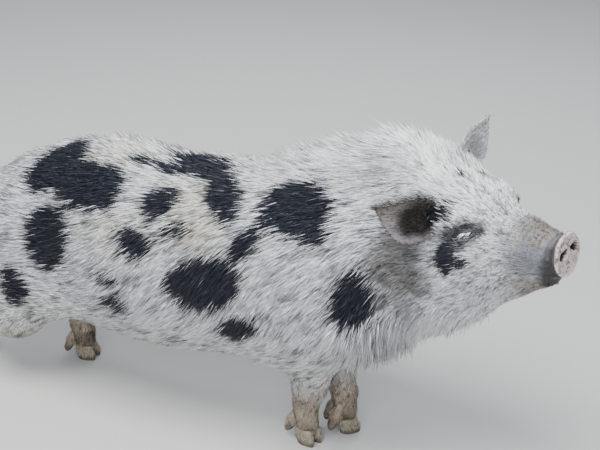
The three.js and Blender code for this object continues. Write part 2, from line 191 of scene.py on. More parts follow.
def threes(source, key, kind=np.float32):
    """A property of three numbers, read from every item of a mesh's list."""
    found = np.zeros(len(source) * 3, kind)
    source.foreach_get(key, found)
    return found.reshape(-1, 3)


def vertices_of(mesh):
    return threes(mesh.vertices, "co").astype(float) / MM


def move_vertices(mesh, points):
    mesh.vertices.foreach_set("co", (points * MM).astype(np.float32).ravel())
    mesh.update()


def normals_of(mesh):
    return threes(mesh.vertex_normals, "vector").astype(float)


def triangles_of(mesh):
    mesh.calc_loop_triangles()
    return threes(mesh.loop_triangles, "vertices", np.int32)


def add_object(name, data):
    ob = bpy.data.objects.new(name, data)
    bpy.context.scene.collection.objects.link(ob)
    return ob


def mesh_from(name, points, faces):
    """A mesh object; its faces all have the same number of corners."""
    mesh = bpy.data.meshes.new(name)
    corners = faces.shape[1]
    mesh.vertices.add(len(points))
    mesh.loops.add(faces.size)
    mesh.polygons.add(len(faces))
    mesh.loops.foreach_set("vertex_index", faces.ravel().astype(np.int32))
    mesh.polygons.foreach_set("loop_start", np.arange(0, faces.size, corners, dtype=np.int32))
    mesh.vertices.foreach_set("co", (points * MM).astype(np.float32).ravel())
    mesh.update(calc_edges=True)
    return add_object(name, mesh)


def hand_over(ob, colours, material, slot, *nodes):
    """Paints and smooths a finished object, which rides on the one body and stands in for its nodes."""
    mesh = ob.data
    attribute = mesh.color_attributes.new("tone", "FLOAT_COLOR", "POINT")
    rgba = np.ones((len(colours), 4), np.float32)
    rgba[:, :3] = np.clip(colours, 0, 1)
    attribute.data.foreach_set("color", rgba.ravel())
    mesh.polygons.foreach_set("use_smooth", np.ones(len(mesh.polygons), bool))
    mesh.materials.clear()
    mesh.materials.append(material)
    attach(ob, "root")
    if nodes:
        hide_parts(*nodes)


@contextmanager
def editing(mesh, *sources):
    """Edits a mesh, with the meshes of sources added to it."""
    bm = bmesh.new()
    for source in (mesh, *sources):
        bm.from_mesh(source)
    yield bm
    bm.to_mesh(mesh)
    bm.free()
    mesh.update()


def joined(name, nodes, margin):
    """CAD nodes' meshes in one object, grown by a margin so that the cuts between them close."""
    whole = bpy.data.meshes.new(name)
    for node in nodes:
        mesh = bpy.data.meshes.new(node)
        with editing(mesh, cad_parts[node].data) as bm:
            bmesh.ops.remove_doubles(bm, verts=bm.verts, dist=1e-5)
            bm.normal_update()
            for v in bm.verts:
                v.co += v.normal * margin * MM
        with editing(whole, mesh):
            bpy.data.meshes.remove(mesh)
    return add_object(name, whole)


def weigh(ob, name, weights, levels=20):
    """A vertex group with a weight for each vertex, in steps."""
    group = ob.vertex_groups.new(name=name)
    stepped = np.round(np.clip(weights, 0, 1) * levels).astype(int)
    for level in range(1, levels + 1):
        group.add(np.flatnonzero(stepped == level).tolist(), level / levels, "REPLACE")


def apply_modifier(ob, kind, **settings):
    """Puts a modifier's result into the object's mesh."""
    modifier = ob.modifiers.new(kind, kind)
    for key, value in settings.items():
        setattr(modifier, key, value)
    bpy.context.view_layer.update()
    graph = bpy.context.evaluated_depsgraph_get()
    made = bpy.data.meshes.new_from_object(ob.evaluated_get(graph))
    ob.modifiers.clear()
    ob.vertex_groups.clear()
    old = ob.data
    ob.data = made
    bpy.data.meshes.remove(old)


def remesh(ob, voxel):
    apply_modifier(ob, "REMESH", mode="VOXEL", voxel_size=voxel * MM, use_smooth_shade=True)


def relax(ob, times, share=None):
    """Smooths an object, more or less by each point's share."""
    p = vertices_of(ob.data)
    weigh(ob, "relax", share(p) if share else np.ones(len(p)))
    apply_modifier(ob, "SMOOTH", factor=0.5, iterations=times, vertex_group="relax")


# ---- The skin ----

SWELL = 1.0  # closes the cuts between the flesh nodes
BODY_VOXEL = 3.2
SKIN_VOXEL = 2.0
SKIN_TRIANGLES = 136_000


def tail_share(p):
    """1 on the tail where it hangs clear of the rump."""
    near = np.hypot(p[:, 0] - TAIL_AT[0], p[:, 1] - TAIL_AT[1])
    return (1 - step(near, 20, 30)) * (1 - step(p[:, 0] - TRUNK_LOW[0], -14, 2))


def broad_share(p):
    """1 on the trunk and neck, 0 on the head, tail and lower legs."""
    behind_head = 1 - step(to_head(p)[:, 0], -50, 10)
    return step(p[:, 2], 92, 150) * behind_head * (1 - tail_share(p))


def crest_share(p):
    """1 along the ridge of the neck and shoulders, where the bristles stand."""
    x, y, z = p.T
    ridge = bump(y, 0, 62) * step(z, AXIS_Z + 105, AXIS_Z + 150)
    return ridge * step(x, FRONT_X - 120, FRONT_X - 30) * (1 - step(to_head(p)[:, 0], 10, 60))


def coat_depth(p):
    """How far the skin lies below the tips of the coat."""
    x, _, z = to_head(p).T
    depth = mix(1.6, 8.5, broad_share(p) * step(p[:, 2], 120, 240)) + 11 * crest_share(p)
    depth += 5 * bump(x, 34, 50) * step(z, 20, 60)
    return mix(depth, -0.2, tail_share(p))


def body_skin():
    """The flesh and the eyes joined in one, smoothed and sunk by the coat's depth."""
    ob = joined("skin", FLESH + ["eye_left", "eye_right"], SWELL)
    remesh(ob, BODY_VOXEL)
    relax(ob, 110, broad_share)
    relax(ob, 14, lambda p: 1 - tail_share(p))
    p = vertices_of(ob.data)
    inward = coat_depth(p) + SWELL
    move_vertices(ob.data, p - normals_of(ob.data) * inward[:, None])
    return ob


def with_ears(ob):
    """The ears joined on and the whole skin remeshed finely, then thinned out away from the face."""
    ears = joined("ears", EARS, 0.1)
    with editing(ob.data, ears.data):
        bpy.data.objects.remove(ears)
    remesh(ob, SKIN_VOXEL)
    relax(ob, 5, lambda p: 1 - 0.8 * tail_share(p))
    p = vertices_of(ob.data)
    weigh(ob, "thin", 0.05 + 0.95 * (1 - step(to_head(p)[:, 0], -30, 30)))
    ratio = SKIN_TRIANGLES / len(triangles_of(ob.data))
    apply_modifier(ob, "DECIMATE", ratio=ratio, vertex_group="thin", use_collapse_triangulate=True)
    return ob


def refine(mesh, chosen):
    """Halves the edges between chosen vertices."""
    with editing(mesh) as bm:
        bm.verts.ensure_lookup_table()
        edges = [e for e in bm.edges if chosen[e.verts[0].index] and chosen[e.verts[1].index]]
        bmesh.ops.subdivide_edges(bm, edges=edges, cuts=1, use_grid_fill=True, smooth=0.0)
        bmesh.ops.triangulate(bm, faces=bm.faces)


# ---- The face ----

LID_GAP = 1.4  # the lid's thickness over the eyeball
EYE_HALF_WIDE = 9.5
EYE_HALF_OPEN = 2.5
EYE_SLANT = 0.34  # the opening rises towards the snout
EYE_LIFT = 2.6  # of the line where the lids meet, above the eye's middle
MOUTH_UP = -24
MOUTH_CORNER = 64
MOUTH_FRONT = 177


def eye_axes(side):
    """The eye's outward, forward and upward directions in the head's frame."""
    out = unit(np.array([0.28, 0.93 * side, 0.22]))
    ahead = unit(np.array([1.0, 0, -0.12]) - out * np.dot([1.0, 0, -0.12], out))
    return out, ahead, np.cross(out, ahead) * -side


def eye_place(h, side):
    """Distances ahead of and above an eye's middle, seen along its outward axis."""
    out, ahead, up = eye_axes(side)
    d = h - EYES[side]
    return d @ ahead, d @ up, d @ out


def over_lids(a, b):
    """Height above the line where the lids meet."""
    return b - EYE_SLANT * a - EYE_LIFT


def lid_reach(h, side, wider, higher):
    """How far points lie from the middle of an eye's opening, 1 at an oval somewhat larger than it."""
    a, b, c = eye_place(h, side)
    far = np.hypot(a / (EYE_HALF_WIDE + wider), over_lids(a, b) / (EYE_HALF_OPEN + higher))
    return np.where(c > 0, far, 99.0)


def near_eyes(p, far):
    """Whether points lie nearer than far to the middle of either eye."""
    h = to_head(p)
    return np.any([np.linalg.norm(h - EYES[side], axis=1) < far for side in (1, -1)], axis=0)


def lidded(h, side):
    """Points round one eye laid over the eyeball as lids, with the opening sunk behind it."""
    a, b, c = eye_place(h, side)
    facing = c > -2
    slant = over_lids(a, b)
    opening = np.hypot(a / EYE_HALF_WIDE, slant / EYE_HALF_OPEN)
    lid_r = EYE_R + LID_GAP + 1.3 * bump(slant, 5.5, 5)
    flat = np.hypot(a, b)
    cap = np.sqrt(np.maximum(lid_r**2 - flat**2, 0))
    hugging = (1 - step(flat, EYE_R * 0.80, EYE_R * 1.55)) * facing
    target = np.where(flat < lid_r, cap, 0)
    c2 = np.where(flat < lid_r * 0.98, mix(c, target, hugging), mix(c, c - 1.5, hugging))
    sunk = (1 - step(opening, 0.86, 1.12)) * facing
    c2 = mix(c2, EYE_R * 0.55, sunk)
    crease = bump(slant, 9.5, 3.0) * bump(a, 0, 17) + 0.8 * bump(slant, -8.0, 2.6) * bump(a, 1, 14)
    c2 -= 1.8 * crease * facing
    c2 += 2.2 * bump(slant, 14, 7) * bump(a, 0, 20) * facing
    corner = bump(np.hypot(a - EYE_HALF_WIDE - 3, (slant + 1.5) * 1.6), 0, 5)
    c2 -= 1.6 * corner * facing
    return h + (c2 - c)[:, None] * eye_axes(side)[0]


def face_moves(h, n):
    """How far each point of the face moves out along its normal, for the mouth, wrinkles and folds."""
    x, y, z = h.T
    on_muzzle = step(x, MOUTH_CORNER - 12, MOUTH_CORNER + 8)
    on_muzzle *= 1 - step(x, MOUTH_FRONT - 4, MOUTH_FRONT + 4)
    line = MOUTH_UP + 3.0 * bump(x, MOUTH_CORNER, 26) - 2.5 * bump(x, 128, 34)
    groove = bump(z, line, 2.6) * on_muzzle * step(np.abs(n[:, 1]), 0.1, 0.5)
    lips = bump(z, line + 5, 5) + 0.8 * bump(z, line - 5, 4.5)
    move = -1.9 * groove + 0.8 * lips * on_muzzle
    rings = np.sin((x + 0.12 * np.abs(y)) / 6.5 * 2 * np.pi + 1.2 * noise(h, 24, 3))
    fade = step(x, 100, 145) * (1 - step(x, 174, 180)) * step(z, -16, 6)
    move += 0.85 * rings * fade
    move -= 2.4 * bump(x, 174, 8)  # the neck behind the disc
    move -= 2.2 * bump(x - 46 + 0.45 * (z + 12), 0, 9) * bump(z, -16, 34) * step(np.abs(y), 20, 34)
    move += 0.7 * noise(h, 15, 5) * step(x, -40, 20)
    furrows = np.sin(y / 5.2 + 1.5 * noise(h, 20, 8)) * bump(x, 66, 34) * step(z, 40, 60)
    return move + 0.5 * furrows


FOLDS = (  # creases of the neck behind the jaw, on the side that the head turns to
    {"from": (-30, -92, 6), "to": (18, -62, -96), "deep": 2.2, "wide": 12},
    {"from": (-62, -96, 4), "to": (-22, -68, -112), "deep": 1.8, "wide": 11},
)


def neck_moves(h):
    move = np.zeros(len(h))
    for fold in FOLDS:
        a, b = np.array(fold["from"], float), np.array(fold["to"], float)
        along = b - a
        t = np.clip(((h - a) @ along) / (along @ along), 0, 1)
        middle = a + t[:, None] * along + np.array([10.0, -8, 0]) * bump(t, 0.5, 0.5)[:, None]
        away = np.linalg.norm(h - middle, axis=1)
        fade = bump(t, 0.5, 0.5)
        move -= fold["deep"] * (1 - step(away, 0, fold["wide"])) * fade
        move += 0.4 * fold["deep"] * bump(away, fold["wide"] * 1.4, fold["wide"]) * fade
    return move


def body_moves(p):
    """Soft unevenness of the trunk: shoulder blade, hip, and slack skin."""
    share = broad_share(p)
    move = (1.6 * noise(p, 70, 11) + 0.9 * noise(p, 32, 12)) * share
    lower = step(p[:, 2], 30, 60) * (1 - step(p[:, 2], 110, 170))
    return move + 0.5 * noise(p, 12, 13) * lower


def sculpt(ob):
    """Carves the face, neck, body and eyelids into the skin, and leaves the ears as they are."""
    mesh = ob.data
    for far in (27, 22):
        refine(mesh, near_eyes(vertices_of(mesh), far))
    p = vertices_of(mesh)
    h = to_head(p)
    n = normals_of(mesh)
    move = face_moves(h, n @ HEAD_AXES.T) * step(h[:, 0], -60, -10) + neck_moves(h) + body_moves(p)
    in_ear = ear_share(p)
    h = to_head(p + n * (move * (1 - in_ear))[:, None])
    for side in (1, -1):
        h = lidded(h, side)
    move_vertices(mesh, from_head(h))


# ---- Ears ----

EAR_LINES = {node: ear_line(node) for node in EARS}
EAR_OPEN = {"ear_right": (0.62, -0.62, 0.45), "ear_left": (0.95, 0.1, 0.2)}  # the way each one faces


def ear_places(p):
    """For each ear: how far along it a point lies, 0 to 1, and its distance from the ear's middle line."""
    for node, (root, tip) in EAR_LINES.items():
        along = tip - root
        t = ((p - root) @ along) / (along @ along)
        away = np.linalg.norm(p - root - np.clip(t, 0, 1)[:, None] * along, axis=1)
        yield node, t, away


def surface_tree(node):
    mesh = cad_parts[node].data
    return BVHTree.FromPolygons(vertices_of(mesh).tolist(), triangles_of(mesh).tolist())


EAR_TREES = {node: surface_tree(node) for node in EARS}


def opening_of(node):
    return unit(np.array(EAR_OPEN[node]) @ HEAD_AXES)


def across_ear(node, p):
    """Distance across an ear from its middle line, seen from the side that it opens to."""
    root, tip = EAR_LINES[node]
    return (p - root) @ unit(np.cross(opening_of(node), tip - root))


def ear_outline(node):
    """The least and greatest distances across an ear at even steps along it."""
    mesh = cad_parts[node].data
    p, tri = vertices_of(mesh), triangles_of(mesh)
    shares = np.linspace(0, 1, 12)[:, None, None]
    p = np.concatenate([mix(p[tri[:, i]], p[tri[:, i - 1]], shares).reshape(-1, 3) for i in range(3)])
    root, tip = EAR_LINES[node]
    t = ((p - root) @ (tip - root)) / ((tip - root) @ (tip - root))
    u = across_ear(node, p)
    steps = np.linspace(0, 1, 13)
    near = [np.abs(t - at) < 0.045 for at in steps]
    return steps, np.array([u[m].min() for m in near]), np.array([u[m].max() for m in near])


EAR_OUTLINES = {node: ear_outline(node) for node in EARS}


def rim_share(node, t, p):
    """1 along an ear's rim."""
    steps, low, high = EAR_OUTLINES[node]
    u = across_ear(node, p)
    inset = np.minimum(np.interp(t, steps, high) - u, u - np.interp(t, steps, low))
    return (1 - step(inset, 2.2, 5.5)) * step(t, 0.05, 0.2)


def off_ear(node, p, t, away):
    """Distance from an ear's surface, for points near the ear."""
    off = np.full(len(p), 99.0)
    for i in np.flatnonzero((away < 66) & (t > -0.2)):
        off[i] = EAR_TREES[node].find_nearest(p[i])[3]
    return off


def ear_shares(p):
    """For each ear: 1 on its own surface, 0 on the skin a few millimetres off it."""
    for node, t, away in ear_places(p):
        yield node, (1 - step(off_ear(node, p, t, away), 1.5, 4.5)) * step(t, 0.0, 0.12)


def beside_ear(p):
    """1 on the head's hair along the upper edge of the right ear, which is short and brown there."""
    for node, t, away in ear_places(p):
        if node == "ear_right":
            off = off_ear(node, p, t, away)
            return (1 - step(off, 8, 28)) * (1 - step(across_ear(node, p), 0, 8)) * step(t, -0.2, 0.05)


def ear_share(p):
    return np.maximum(*[share for _, share in ear_shares(p)])


# ---- Markings ----

# Blue-black spots on the trunk and neck. Each is an ellipse on the unrolled body: x along the row frame,
# s round the girth from the spine, positive on the pig's right, half length, half width and tilt.
GIRTH_MAP_R = 130
SPOTS = (
    (-263, 58, 62, 43, -60),  # rump
    (-194, 88, 60, 38, -3),
    (-247, 182, 57, 42, 86),  # haunch
    (-310, 277, 30, 24, 54),
    (-78, 90, 33, 25, -44),  # loin
    (-100, 157, 27, 23, 0),
    (-44, 126, 24, 8, -19),
    (-142, 221, 17, 9, 0),
    (-127, 258, 23, 13, 28),
    (-107, 30, 44, 13, 2),  # back
    (-46, 12, 70, 28, 24),
    (12, 64, 44, 26, 54),
    (122, 66, 54, 39, 2),  # shoulder
    (161, 94, 24, 12, -22),
    (65, 123, 31, 18, -56),
    (13, 191, 61, 42, -23),  # flank
    (57, 256, 38, 20, -25),
    (213, 170, 51, 27, -81),  # side of the neck
    (148, -95, 62, 38, 40),  # left side
    (18, -155, 70, 44, -15),
    (-127, -70, 50, 30, 20),
    (-62, -215, 26, 18, 0),
    (-217, -140, 66, 46, 70),
    (-302, -225, 36, 26, 40),
    (83, -250, 34, 19, 20),
    (226, -160, 40, 24, -70),
    (-12, -75, 19, 11, -30),
    (94, -190, 15, 10, 0),
    (-287, -55, 26, 18, 30),
)

CREAM_PATCHES = (  # on the same map, with how yellow each one is
    (-26, 98, 80, 52, 42, 0.9),
    (-170, 20, 70, 46, -20, 0.6),
    (-120, 150, 90, 60, 0, 0.5),
    (-60, -90, 120, 60, 0, 0.5),
)
EAR_HOLLOW = ((30, -70, 53), (32, 35, 24))  # the brown-black hair deep in the right ear, and painted shade below the ear's lower edge
# Dark patches of the head, in its own frame: middle, radii, and how dark.
FACE_SPOTS = (
    ((53, -71, -1), (13, 30, 26), 1.0),  # below and behind the right eye
    ((69, -65, -6), (15, 20, 8), 0.9),
    ((61, -62, 19), (15, 24, 13), 0.55),
    ((60, 66, 12), (13, 26, 18), 1.0),
    ((40, 0, 80), (8, 5, 14), 1.0),  # forehead
    ((51, 28, 70), (9, 7, 14), 1.0),
    ((34, -18, 80), (7, 5, 14), 0.45),
)
FACE_GREYS = (  # dark grey hair round the eyes, between the eye and the ear, and at the eye's front corner
    ((58, -60, 28), (15, 26, 14), 0.93),
    ((78, -49, 34), (24, 26, 15), 0.97),
    ((90, -44, 37), (17, 20, 10), 0.75),
    ((93, -42, 32), (11, 14, 9), 0.98),
    ((66, -60, 15), (18, 24, 11), 0.8),
    ((77, 50, 32), (23, 26, 14), 0.93),
    ((58, 60, 28), (15, 26, 14), 0.85),
)
SNOUT_GREY = ((160, 0, 0), (66, 60, 50))


def girth_place(p):
    angle = np.arctan2(-p[:, 1], p[:, 2] - AXIS_Z)
    return p[:, 0], angle * GIRTH_MAP_R


def in_oval(u, v, half_long, half_wide, tilt):
    """1 at an ellipse's middle, 0 at its edge and below 0 outside."""
    c, s = math.cos(math.radians(tilt)), math.sin(math.radians(tilt))
    return 1 - np.hypot((u * c + v * s) / half_long, (v * c - u * s) / half_wide)


def darkness(p):
    """How black the coat is, 0 to 1 with edges that waver."""
    x, s = girth_place(p)
    ragged = 0.20 * noise(p, 22, 21) + 0.15 * noise(p, 9, 22)
    on_body = (to_head(p)[:, 0] < 20) & (p[:, 2] > 66) & (p[:, 0] > TRUNK_LOW[0] - 4)
    most = np.full(len(p), -1.0)
    for x0, s0, half_long, half_wide, tilt in SPOTS:
        edge = in_oval(x - x0, s - s0, half_long, half_wide, tilt) * half_wide / 24
        most = np.maximum(most, edge)
    body = step(most + ragged * 0.9, -0.10, 0.15) * on_body
    h = to_head(p)
    face = np.zeros(len(p))
    for at, radii, dark in FACE_SPOTS:
        face = np.maximum(face, dark * step(1.05 - reach(h, at, radii) + ragged * 0.8, -0.1, 0.28))
    # the right ear's hollow: brown-black hair, with painted shade below the ear
    hollow = step(1.1 - reach(h, *EAR_HOLLOW) + ragged, -0.15, 0.5)
    return np.maximum(body, np.maximum(face, hollow) * (h[:, 0] > 5))


WHITE = np.array([0.85, 0.875, 0.91])
CREAM = np.array([0.82, 0.79, 0.69])
LEG_CREAM = np.array([0.41, 0.365, 0.28])
DIRT = np.array([0.20, 0.17, 0.115])
BLACK = np.array([0.010, 0.012, 0.020])
BLACK_SHEEN = np.array([0.045, 0.052, 0.075])
GREY = np.array([0.165, 0.175, 0.205])
EYE_GREY = np.array([0.055, 0.060, 0.075])
PINK = np.array([0.55, 0.36, 0.30])
# the skin's tones, darker than its real pinkish grey as painted shade in the gaps of the coat
SKIN_LOW = np.array([0.34, 0.30, 0.30])
SKIN_HIGH = np.array([0.42, 0.39, 0.39])
# the lids' dark margins, with painted shade in the creases round the eye
LID_RIM = np.array([0.03, 0.026, 0.028])
DARK_SKIN = np.array([0.045, 0.042, 0.045])
SHADE = np.array([0.20, 0.195, 0.19])
# the right ear's tone is darker than the left's, partly as painted shade inside the ear
EAR_TONE = {"ear_right": (0.135, 0.120, 0.130), "ear_left": (0.52, 0.50, 0.52)}
EAR_BROWN = np.array([0.062, 0.054, 0.045])


def cream_share(p):
    """The yellowed bristles of the back and flank, and the belly's edge."""
    x, s = girth_place(p)
    share = 0.45 * step(np.abs(s), 255, 320)
    for x0, s0, half_long, half_wide, tilt, yellow in CREAM_PATCHES:
        oval = in_oval(x - x0, s - s0, half_long, half_wide, tilt)
        share = np.maximum(share, yellow * np.clip(oval * 2, 0, 1))
    return np.clip(share * (0.75 + 0.45 * noise(p, 30, 31)), 0, 1)


def dirt_share(p):
    """Soil on the feet, the snout's bridge, the jaw and behind the cheek."""
    h = to_head(p)
    x, _, z = h.T
    feet = np.clip(1.1 - step(p[:, 2], 10, 105), 0, 1) * np.clip(0.35 + 0.8 * noise(p, 17, 33), 0, 1)
    bridge = bump(x, 158, 44) * step(z, 8, 24)
    behind = 0.3 * np.clip(1.3 - reach(h, (-8, -88, -50), (42, 50, 40)), 0, 1)
    chin = bump(x, 142, 52) * step(-z, 22, 42)
    mottle = 0.85 + 0.5 * noise(p, 12, 34) + 0.35 * noise(p, 5, 42)
    return np.clip(np.maximum.reduce([feet, bridge * mottle, behind * mottle, chin * mottle]), 0, 1)


def grey_share(p):
    """Bluish skin showing through the thin hair of the snout."""
    away = reach(to_head(p), *SNOUT_GREY)
    return 0.95 * step(1.15 - away + 0.15 * noise(p, 12, 35), 0, 0.65)


def eye_grey_share(p):
    h = to_head(p)
    ragged = 0.22 * noise(p, 9, 39)
    greys = [dark * (1 - step(reach(h, at, radii) + ragged, 0.5, 1.15)) for at, radii, dark in FACE_GREYS]
    return np.max(greys, axis=0)


def disc_shadow_share(p):
    """Painted shadow in the valley right behind the lower half of the disc, where the skin is nearly bare.
    """
    x, y, z = to_head(p).T
    start = np.interp(z, [-34, -8, 14], [150, 159, 166])
    band = step(x + 0.12 * np.abs(y) - start, 0, 14) * (1 - step(z, 14, 30))
    return np.clip(band * (0.95 + 0.3 * noise(p, 5, 38)), 0, 0.98)


def shade_share(p):
    """Painted shade on the greyed, thinner hair behind the right cheek, below the ear and on the throat,
    which face down and away from the light.
    """
    h = to_head(p)
    away = reach(h, (-8, -92, -16), (44, 46, 62))
    behind = 0.90 * step(1.15 - away + 0.22 * noise(p, 20, 36), 0, 0.65)
    below = 0.55 * step(1.1 - reach(p, (232, -60, 214), (60, 60, 60)), 0, 0.8)
    throat = 0.5 * step(1.2 - reach(h, (-26, -100, -76), (40, 46, 48)), 0, 0.7)
    return np.clip(np.maximum.reduce([behind, below, throat * (1 + 0.5 * noise(p, 12, 40))]), 0, 0.9)


def coat_colour(p):
    """The bristles' colour where they aren't black."""
    x, _, z = to_head(p).T
    # painted light: the brow's hair is brighter, as it faces up towards the lamps
    brow = bump(x, 62, 60) * step(z, 34, 60)
    colour = WHITE * (1 + 0.12 * brow)[:, None]
    colour = blend(colour, CREAM, cream_share(p))
    colour = blend(colour, GREY, grey_share(p) * 0.85)
    colour = blend(colour, EYE_GREY, eye_grey_share(p))
    colour = blend(colour, SHADE, shade_share(p))
    colour = blend(colour, LEG_CREAM, 1 - step(p[:, 2], 62, 128))
    colour = blend(colour, EAR_BROWN * 2.4, 0.9 * beside_ear(p) ** 2)
    colour = ear_colour(p, colour, np.zeros(len(p)))
    colour = blend(colour, DIRT, dirt_share(p) * 0.85)
    # painted shadow behind the snout disc
    return blend(colour, DARK_SKIN * 0.5, disc_shadow_share(p))


def skin_colour(p):
    """The skin under the coat: pinkish grey, darkened as painted shade in the coat's gaps, and black below
    the spots and in the inner ears, there partly as painted shade.
    """
    dark = darkness(p)
    h = to_head(p)
    colour = blend(SKIN_LOW, SKIN_HIGH, 0.5 + 0.5 * noise(p, 40, 41))
    colour = blend(colour, PINK, 0.6 * (1 - step(p[:, 2], 60, 130)))
    colour = blend(colour, GREY * 0.95, grey_share(p))
    # painted shade along the groove of the mouth
    mouth = bump(h[:, 2], MOUTH_UP, 3.5) * step(h[:, 0], MOUTH_CORNER - 6, MOUTH_CORNER + 6)
    colour = blend(colour, DARK_SKIN, 0.45 * mouth)
    colour = blend(colour, DARK_SKIN, dark)
    # dark lid margins, and painted shade in the lid creases round each eye
    for side in (1, -1):
        colour = blend(colour, LID_RIM, 0.9 * (1 - step(lid_reach(h, side, 3, 3.2), 1.2, 2.4)))
    colour = blend(colour, DIRT, dirt_share(p) * 0.6)
    # painted shadow behind the snout disc
    colour = blend(colour, DARK_SKIN * 0.5, disc_shadow_share(p))
    return ear_colour(p, colour, dark)


def ear_colour(p, colour, dark):
    """Greyish-pink ears, nearly black in the hollow, partly as painted shade; the right one is darker, also
    partly as painted shade, and browner above, with a dark rim.
    """
    for (node, share), (_, t, _) in zip(ear_shares(p), ear_places(p)):
        mottle = 1 + 0.18 * noise(p, 16, 43) + 0.10 * noise(p, 5, 44)
        tone = np.array(EAR_TONE[node]) * mottle[:, None]
        if node == "ear_right":
            upper = step(-across_ear(node, p) + 7 * noise(p, 12, 45), -26, -2)
            tone = blend(tone, EAR_BROWN, 0.85 * upper)
            tone = blend(tone, (0.020, 0.020, 0.025), 0.9 * rim_share(node, t, p))
        tone = blend(tone, EAR_BROWN * 0.4, dark)
        colour = blend(colour, tone, share)
    return colour


# ---- The lie of the coat ----


def lie_of(p, n):
    """The direction the bristles point, along the skin."""
    x, s = girth_place(p)
    fall = np.interp(x, [-300, -230, -140, 0, 90, 200], [0.05, 0.15, 0.75, 1.15, 1.6, 1.3])
    down = fall * step(np.abs(s), 0, 110) * (1 - 0.85 * step(np.abs(s), 225, 300))
    flow = np.stack([np.full(len(p), -1.0), np.zeros(len(p)), -down], 1)
    flow[:, 1] += 0.3 * np.clip(p[:, 1] / 60, -1, 1) * bump(s, 0, 110)
    hanging = np.maximum(1 - step(p[:, 2], 95, 170), tail_share(p))
    flow = blend(flow, (-0.25, 0.0, -1.0), hanging)
    ahead, aside, up = to_head(p).T
    rise = 0.35 * step(up, 0, 40) - 0.45 * (1 - step(up, -40, 10))
    face = np.stack([np.full(len(p), -1.0), 0.25 * np.sign(aside), rise], 1) @ HEAD_AXES
    flow = blend(flow, face, step(ahead, -50, 20))
    for node, t, away in ear_places(p):
        root, tip = EAR_LINES[node]
        on_ear = step(t, 0.05, 0.2) * (1 - step(away, 42, 52))
        flow = blend(flow, unit(tip - root), on_ear)
    swirl = np.stack([noise(p, 55, 51), noise(p, 55, 52), noise(p, 55, 53)], 1)
    flow = unit(flow) + 0.22 * swirl
    return across(flow, n)


def elbow_share(p):
    """1 on the back of the upper forelegs, where the hair stands off."""
    leg = bump(p[:, 2], 140, 60) * (p[:, 0] > FRONT_X - 60)
    return leg * step(-p[:, 0], -(FRONT_X - 4), -(FRONT_X - 24))


def fringe_share(p):
    """1 on the throat, where the hair hangs loose, and a little along the belly's edge."""
    ahead, _, up = to_head(p).T
    throat = step(-up, 58, 92) * step(ahead, -90, -50) * (1 - step(ahead, 50, 100))
    x, s = girth_place(p)
    belly = bump(np.abs(s), 262, 70) * step(x, -330, -280) * (1 - step(x, FRONT_X - 110, FRONT_X - 50))
    return np.maximum(throat, 0.08 * belly * (p[:, 2] > 90))


def coat_long(p):
    """The bristles' length."""
    ahead, _, up = to_head(p).T
    long = mix(9.5, 23.0, broad_share(p) * (0.45 + 0.55 * step(p[:, 2], 120, 240)))
    on_head = np.interp(ahead, [-20, 40, 90, 130, 175], [16, 12, 8, 5.5, 3.5])
    long = mix(long, on_head, step(ahead, -40, 40))
    long = np.minimum(long, np.interp(p[:, 2], [20, 40, 60, 110, 150, 200], [9, 9, 7, 9, 13, 40]))
    long += 11 * crest_share(p) + 5 * bump(ahead, 36, 46) * step(up, 30, 64)
    long += 14 * fringe_share(p) + 7 * elbow_share(p)
    return mix(long * (1 - 0.6 * beside_ear(p)), 4.2, ear_share(p))


def coat_rise(p):
    """How steeply the bristles leave the skin, in degrees."""
    ahead, _, up = to_head(p).T
    rise = 9 + 5 * step(p[:, 2], 40, 200) + 22 * crest_share(p)
    rise += 18 * bump(ahead, 38, 50) * step(up, 30, 64)
    rise *= (1 - 0.5 * ear_share(p)) * (1 - 0.6 * beside_ear(p))
    return rise + 30 * fringe_share(p) + 16 * elbow_share(p) + 6 * noise(p, 26, 55)


# ---- Tufts ----

RNG = np.random.default_rng(20240611)
LOCK_TUFTS = 6  # tufts gathered in a lock
LOCK_PULL = 0.55  # how far their tips lean to the lock's own
LOCK_REACH = 11
LOCK_ALONG = unit(np.array([-0.86, 0.0, -0.5]))  # the way that the body's locks run
LOCK_NARROWED = 0.66  # so that locks are three times as long as they are wide
ROOT_SHADE = np.array([0.42, 0.405, 0.41])  # painted shade of a pale tuft's root, against its tip, for the shadow down in the coat
TUFTS = 358_000
PATCH = 0.003  # a tuft's share of its piece's colour map
TUFT_FACES = np.array([[0, 1, 2], [3, 2, 1], [0, 3, 1], [0, 2, 3]])  # root, two sides, tip
TUFT_UV = np.array([[0.5, 0], [0, 0.5], [1, 0.5], [0.5, 1]])


def coat_density(p):
    """Tufts to the square millimetre, before the total is set."""
    h = to_head(p)
    on_head = np.interp(h[:, 0], [-20, 60, 120, 160, 174], [0.36, 0.52, 0.46, 0.24, 0])
    density = mix(mix(0.42, 0.20, broad_share(p)), on_head, step(h[:, 0], -40, 10))
    density *= 1 + 0.5 * crest_share(p)
    density *= mix(0.75, 1, step(p[:, 2], 90, 130))
    density *= step(p[:, 2], 22, 30) * (1 + 0.5 * bump(p[:, 2], 36, 16))
    for side in (1, -1):
        density *= step(lid_reach(h, side, 1.5, 1.6), 1.0, 1.3)
    return density * (1 - 0.45 * ear_share(p)) * (1 + 0.5 * fringe_share(p))


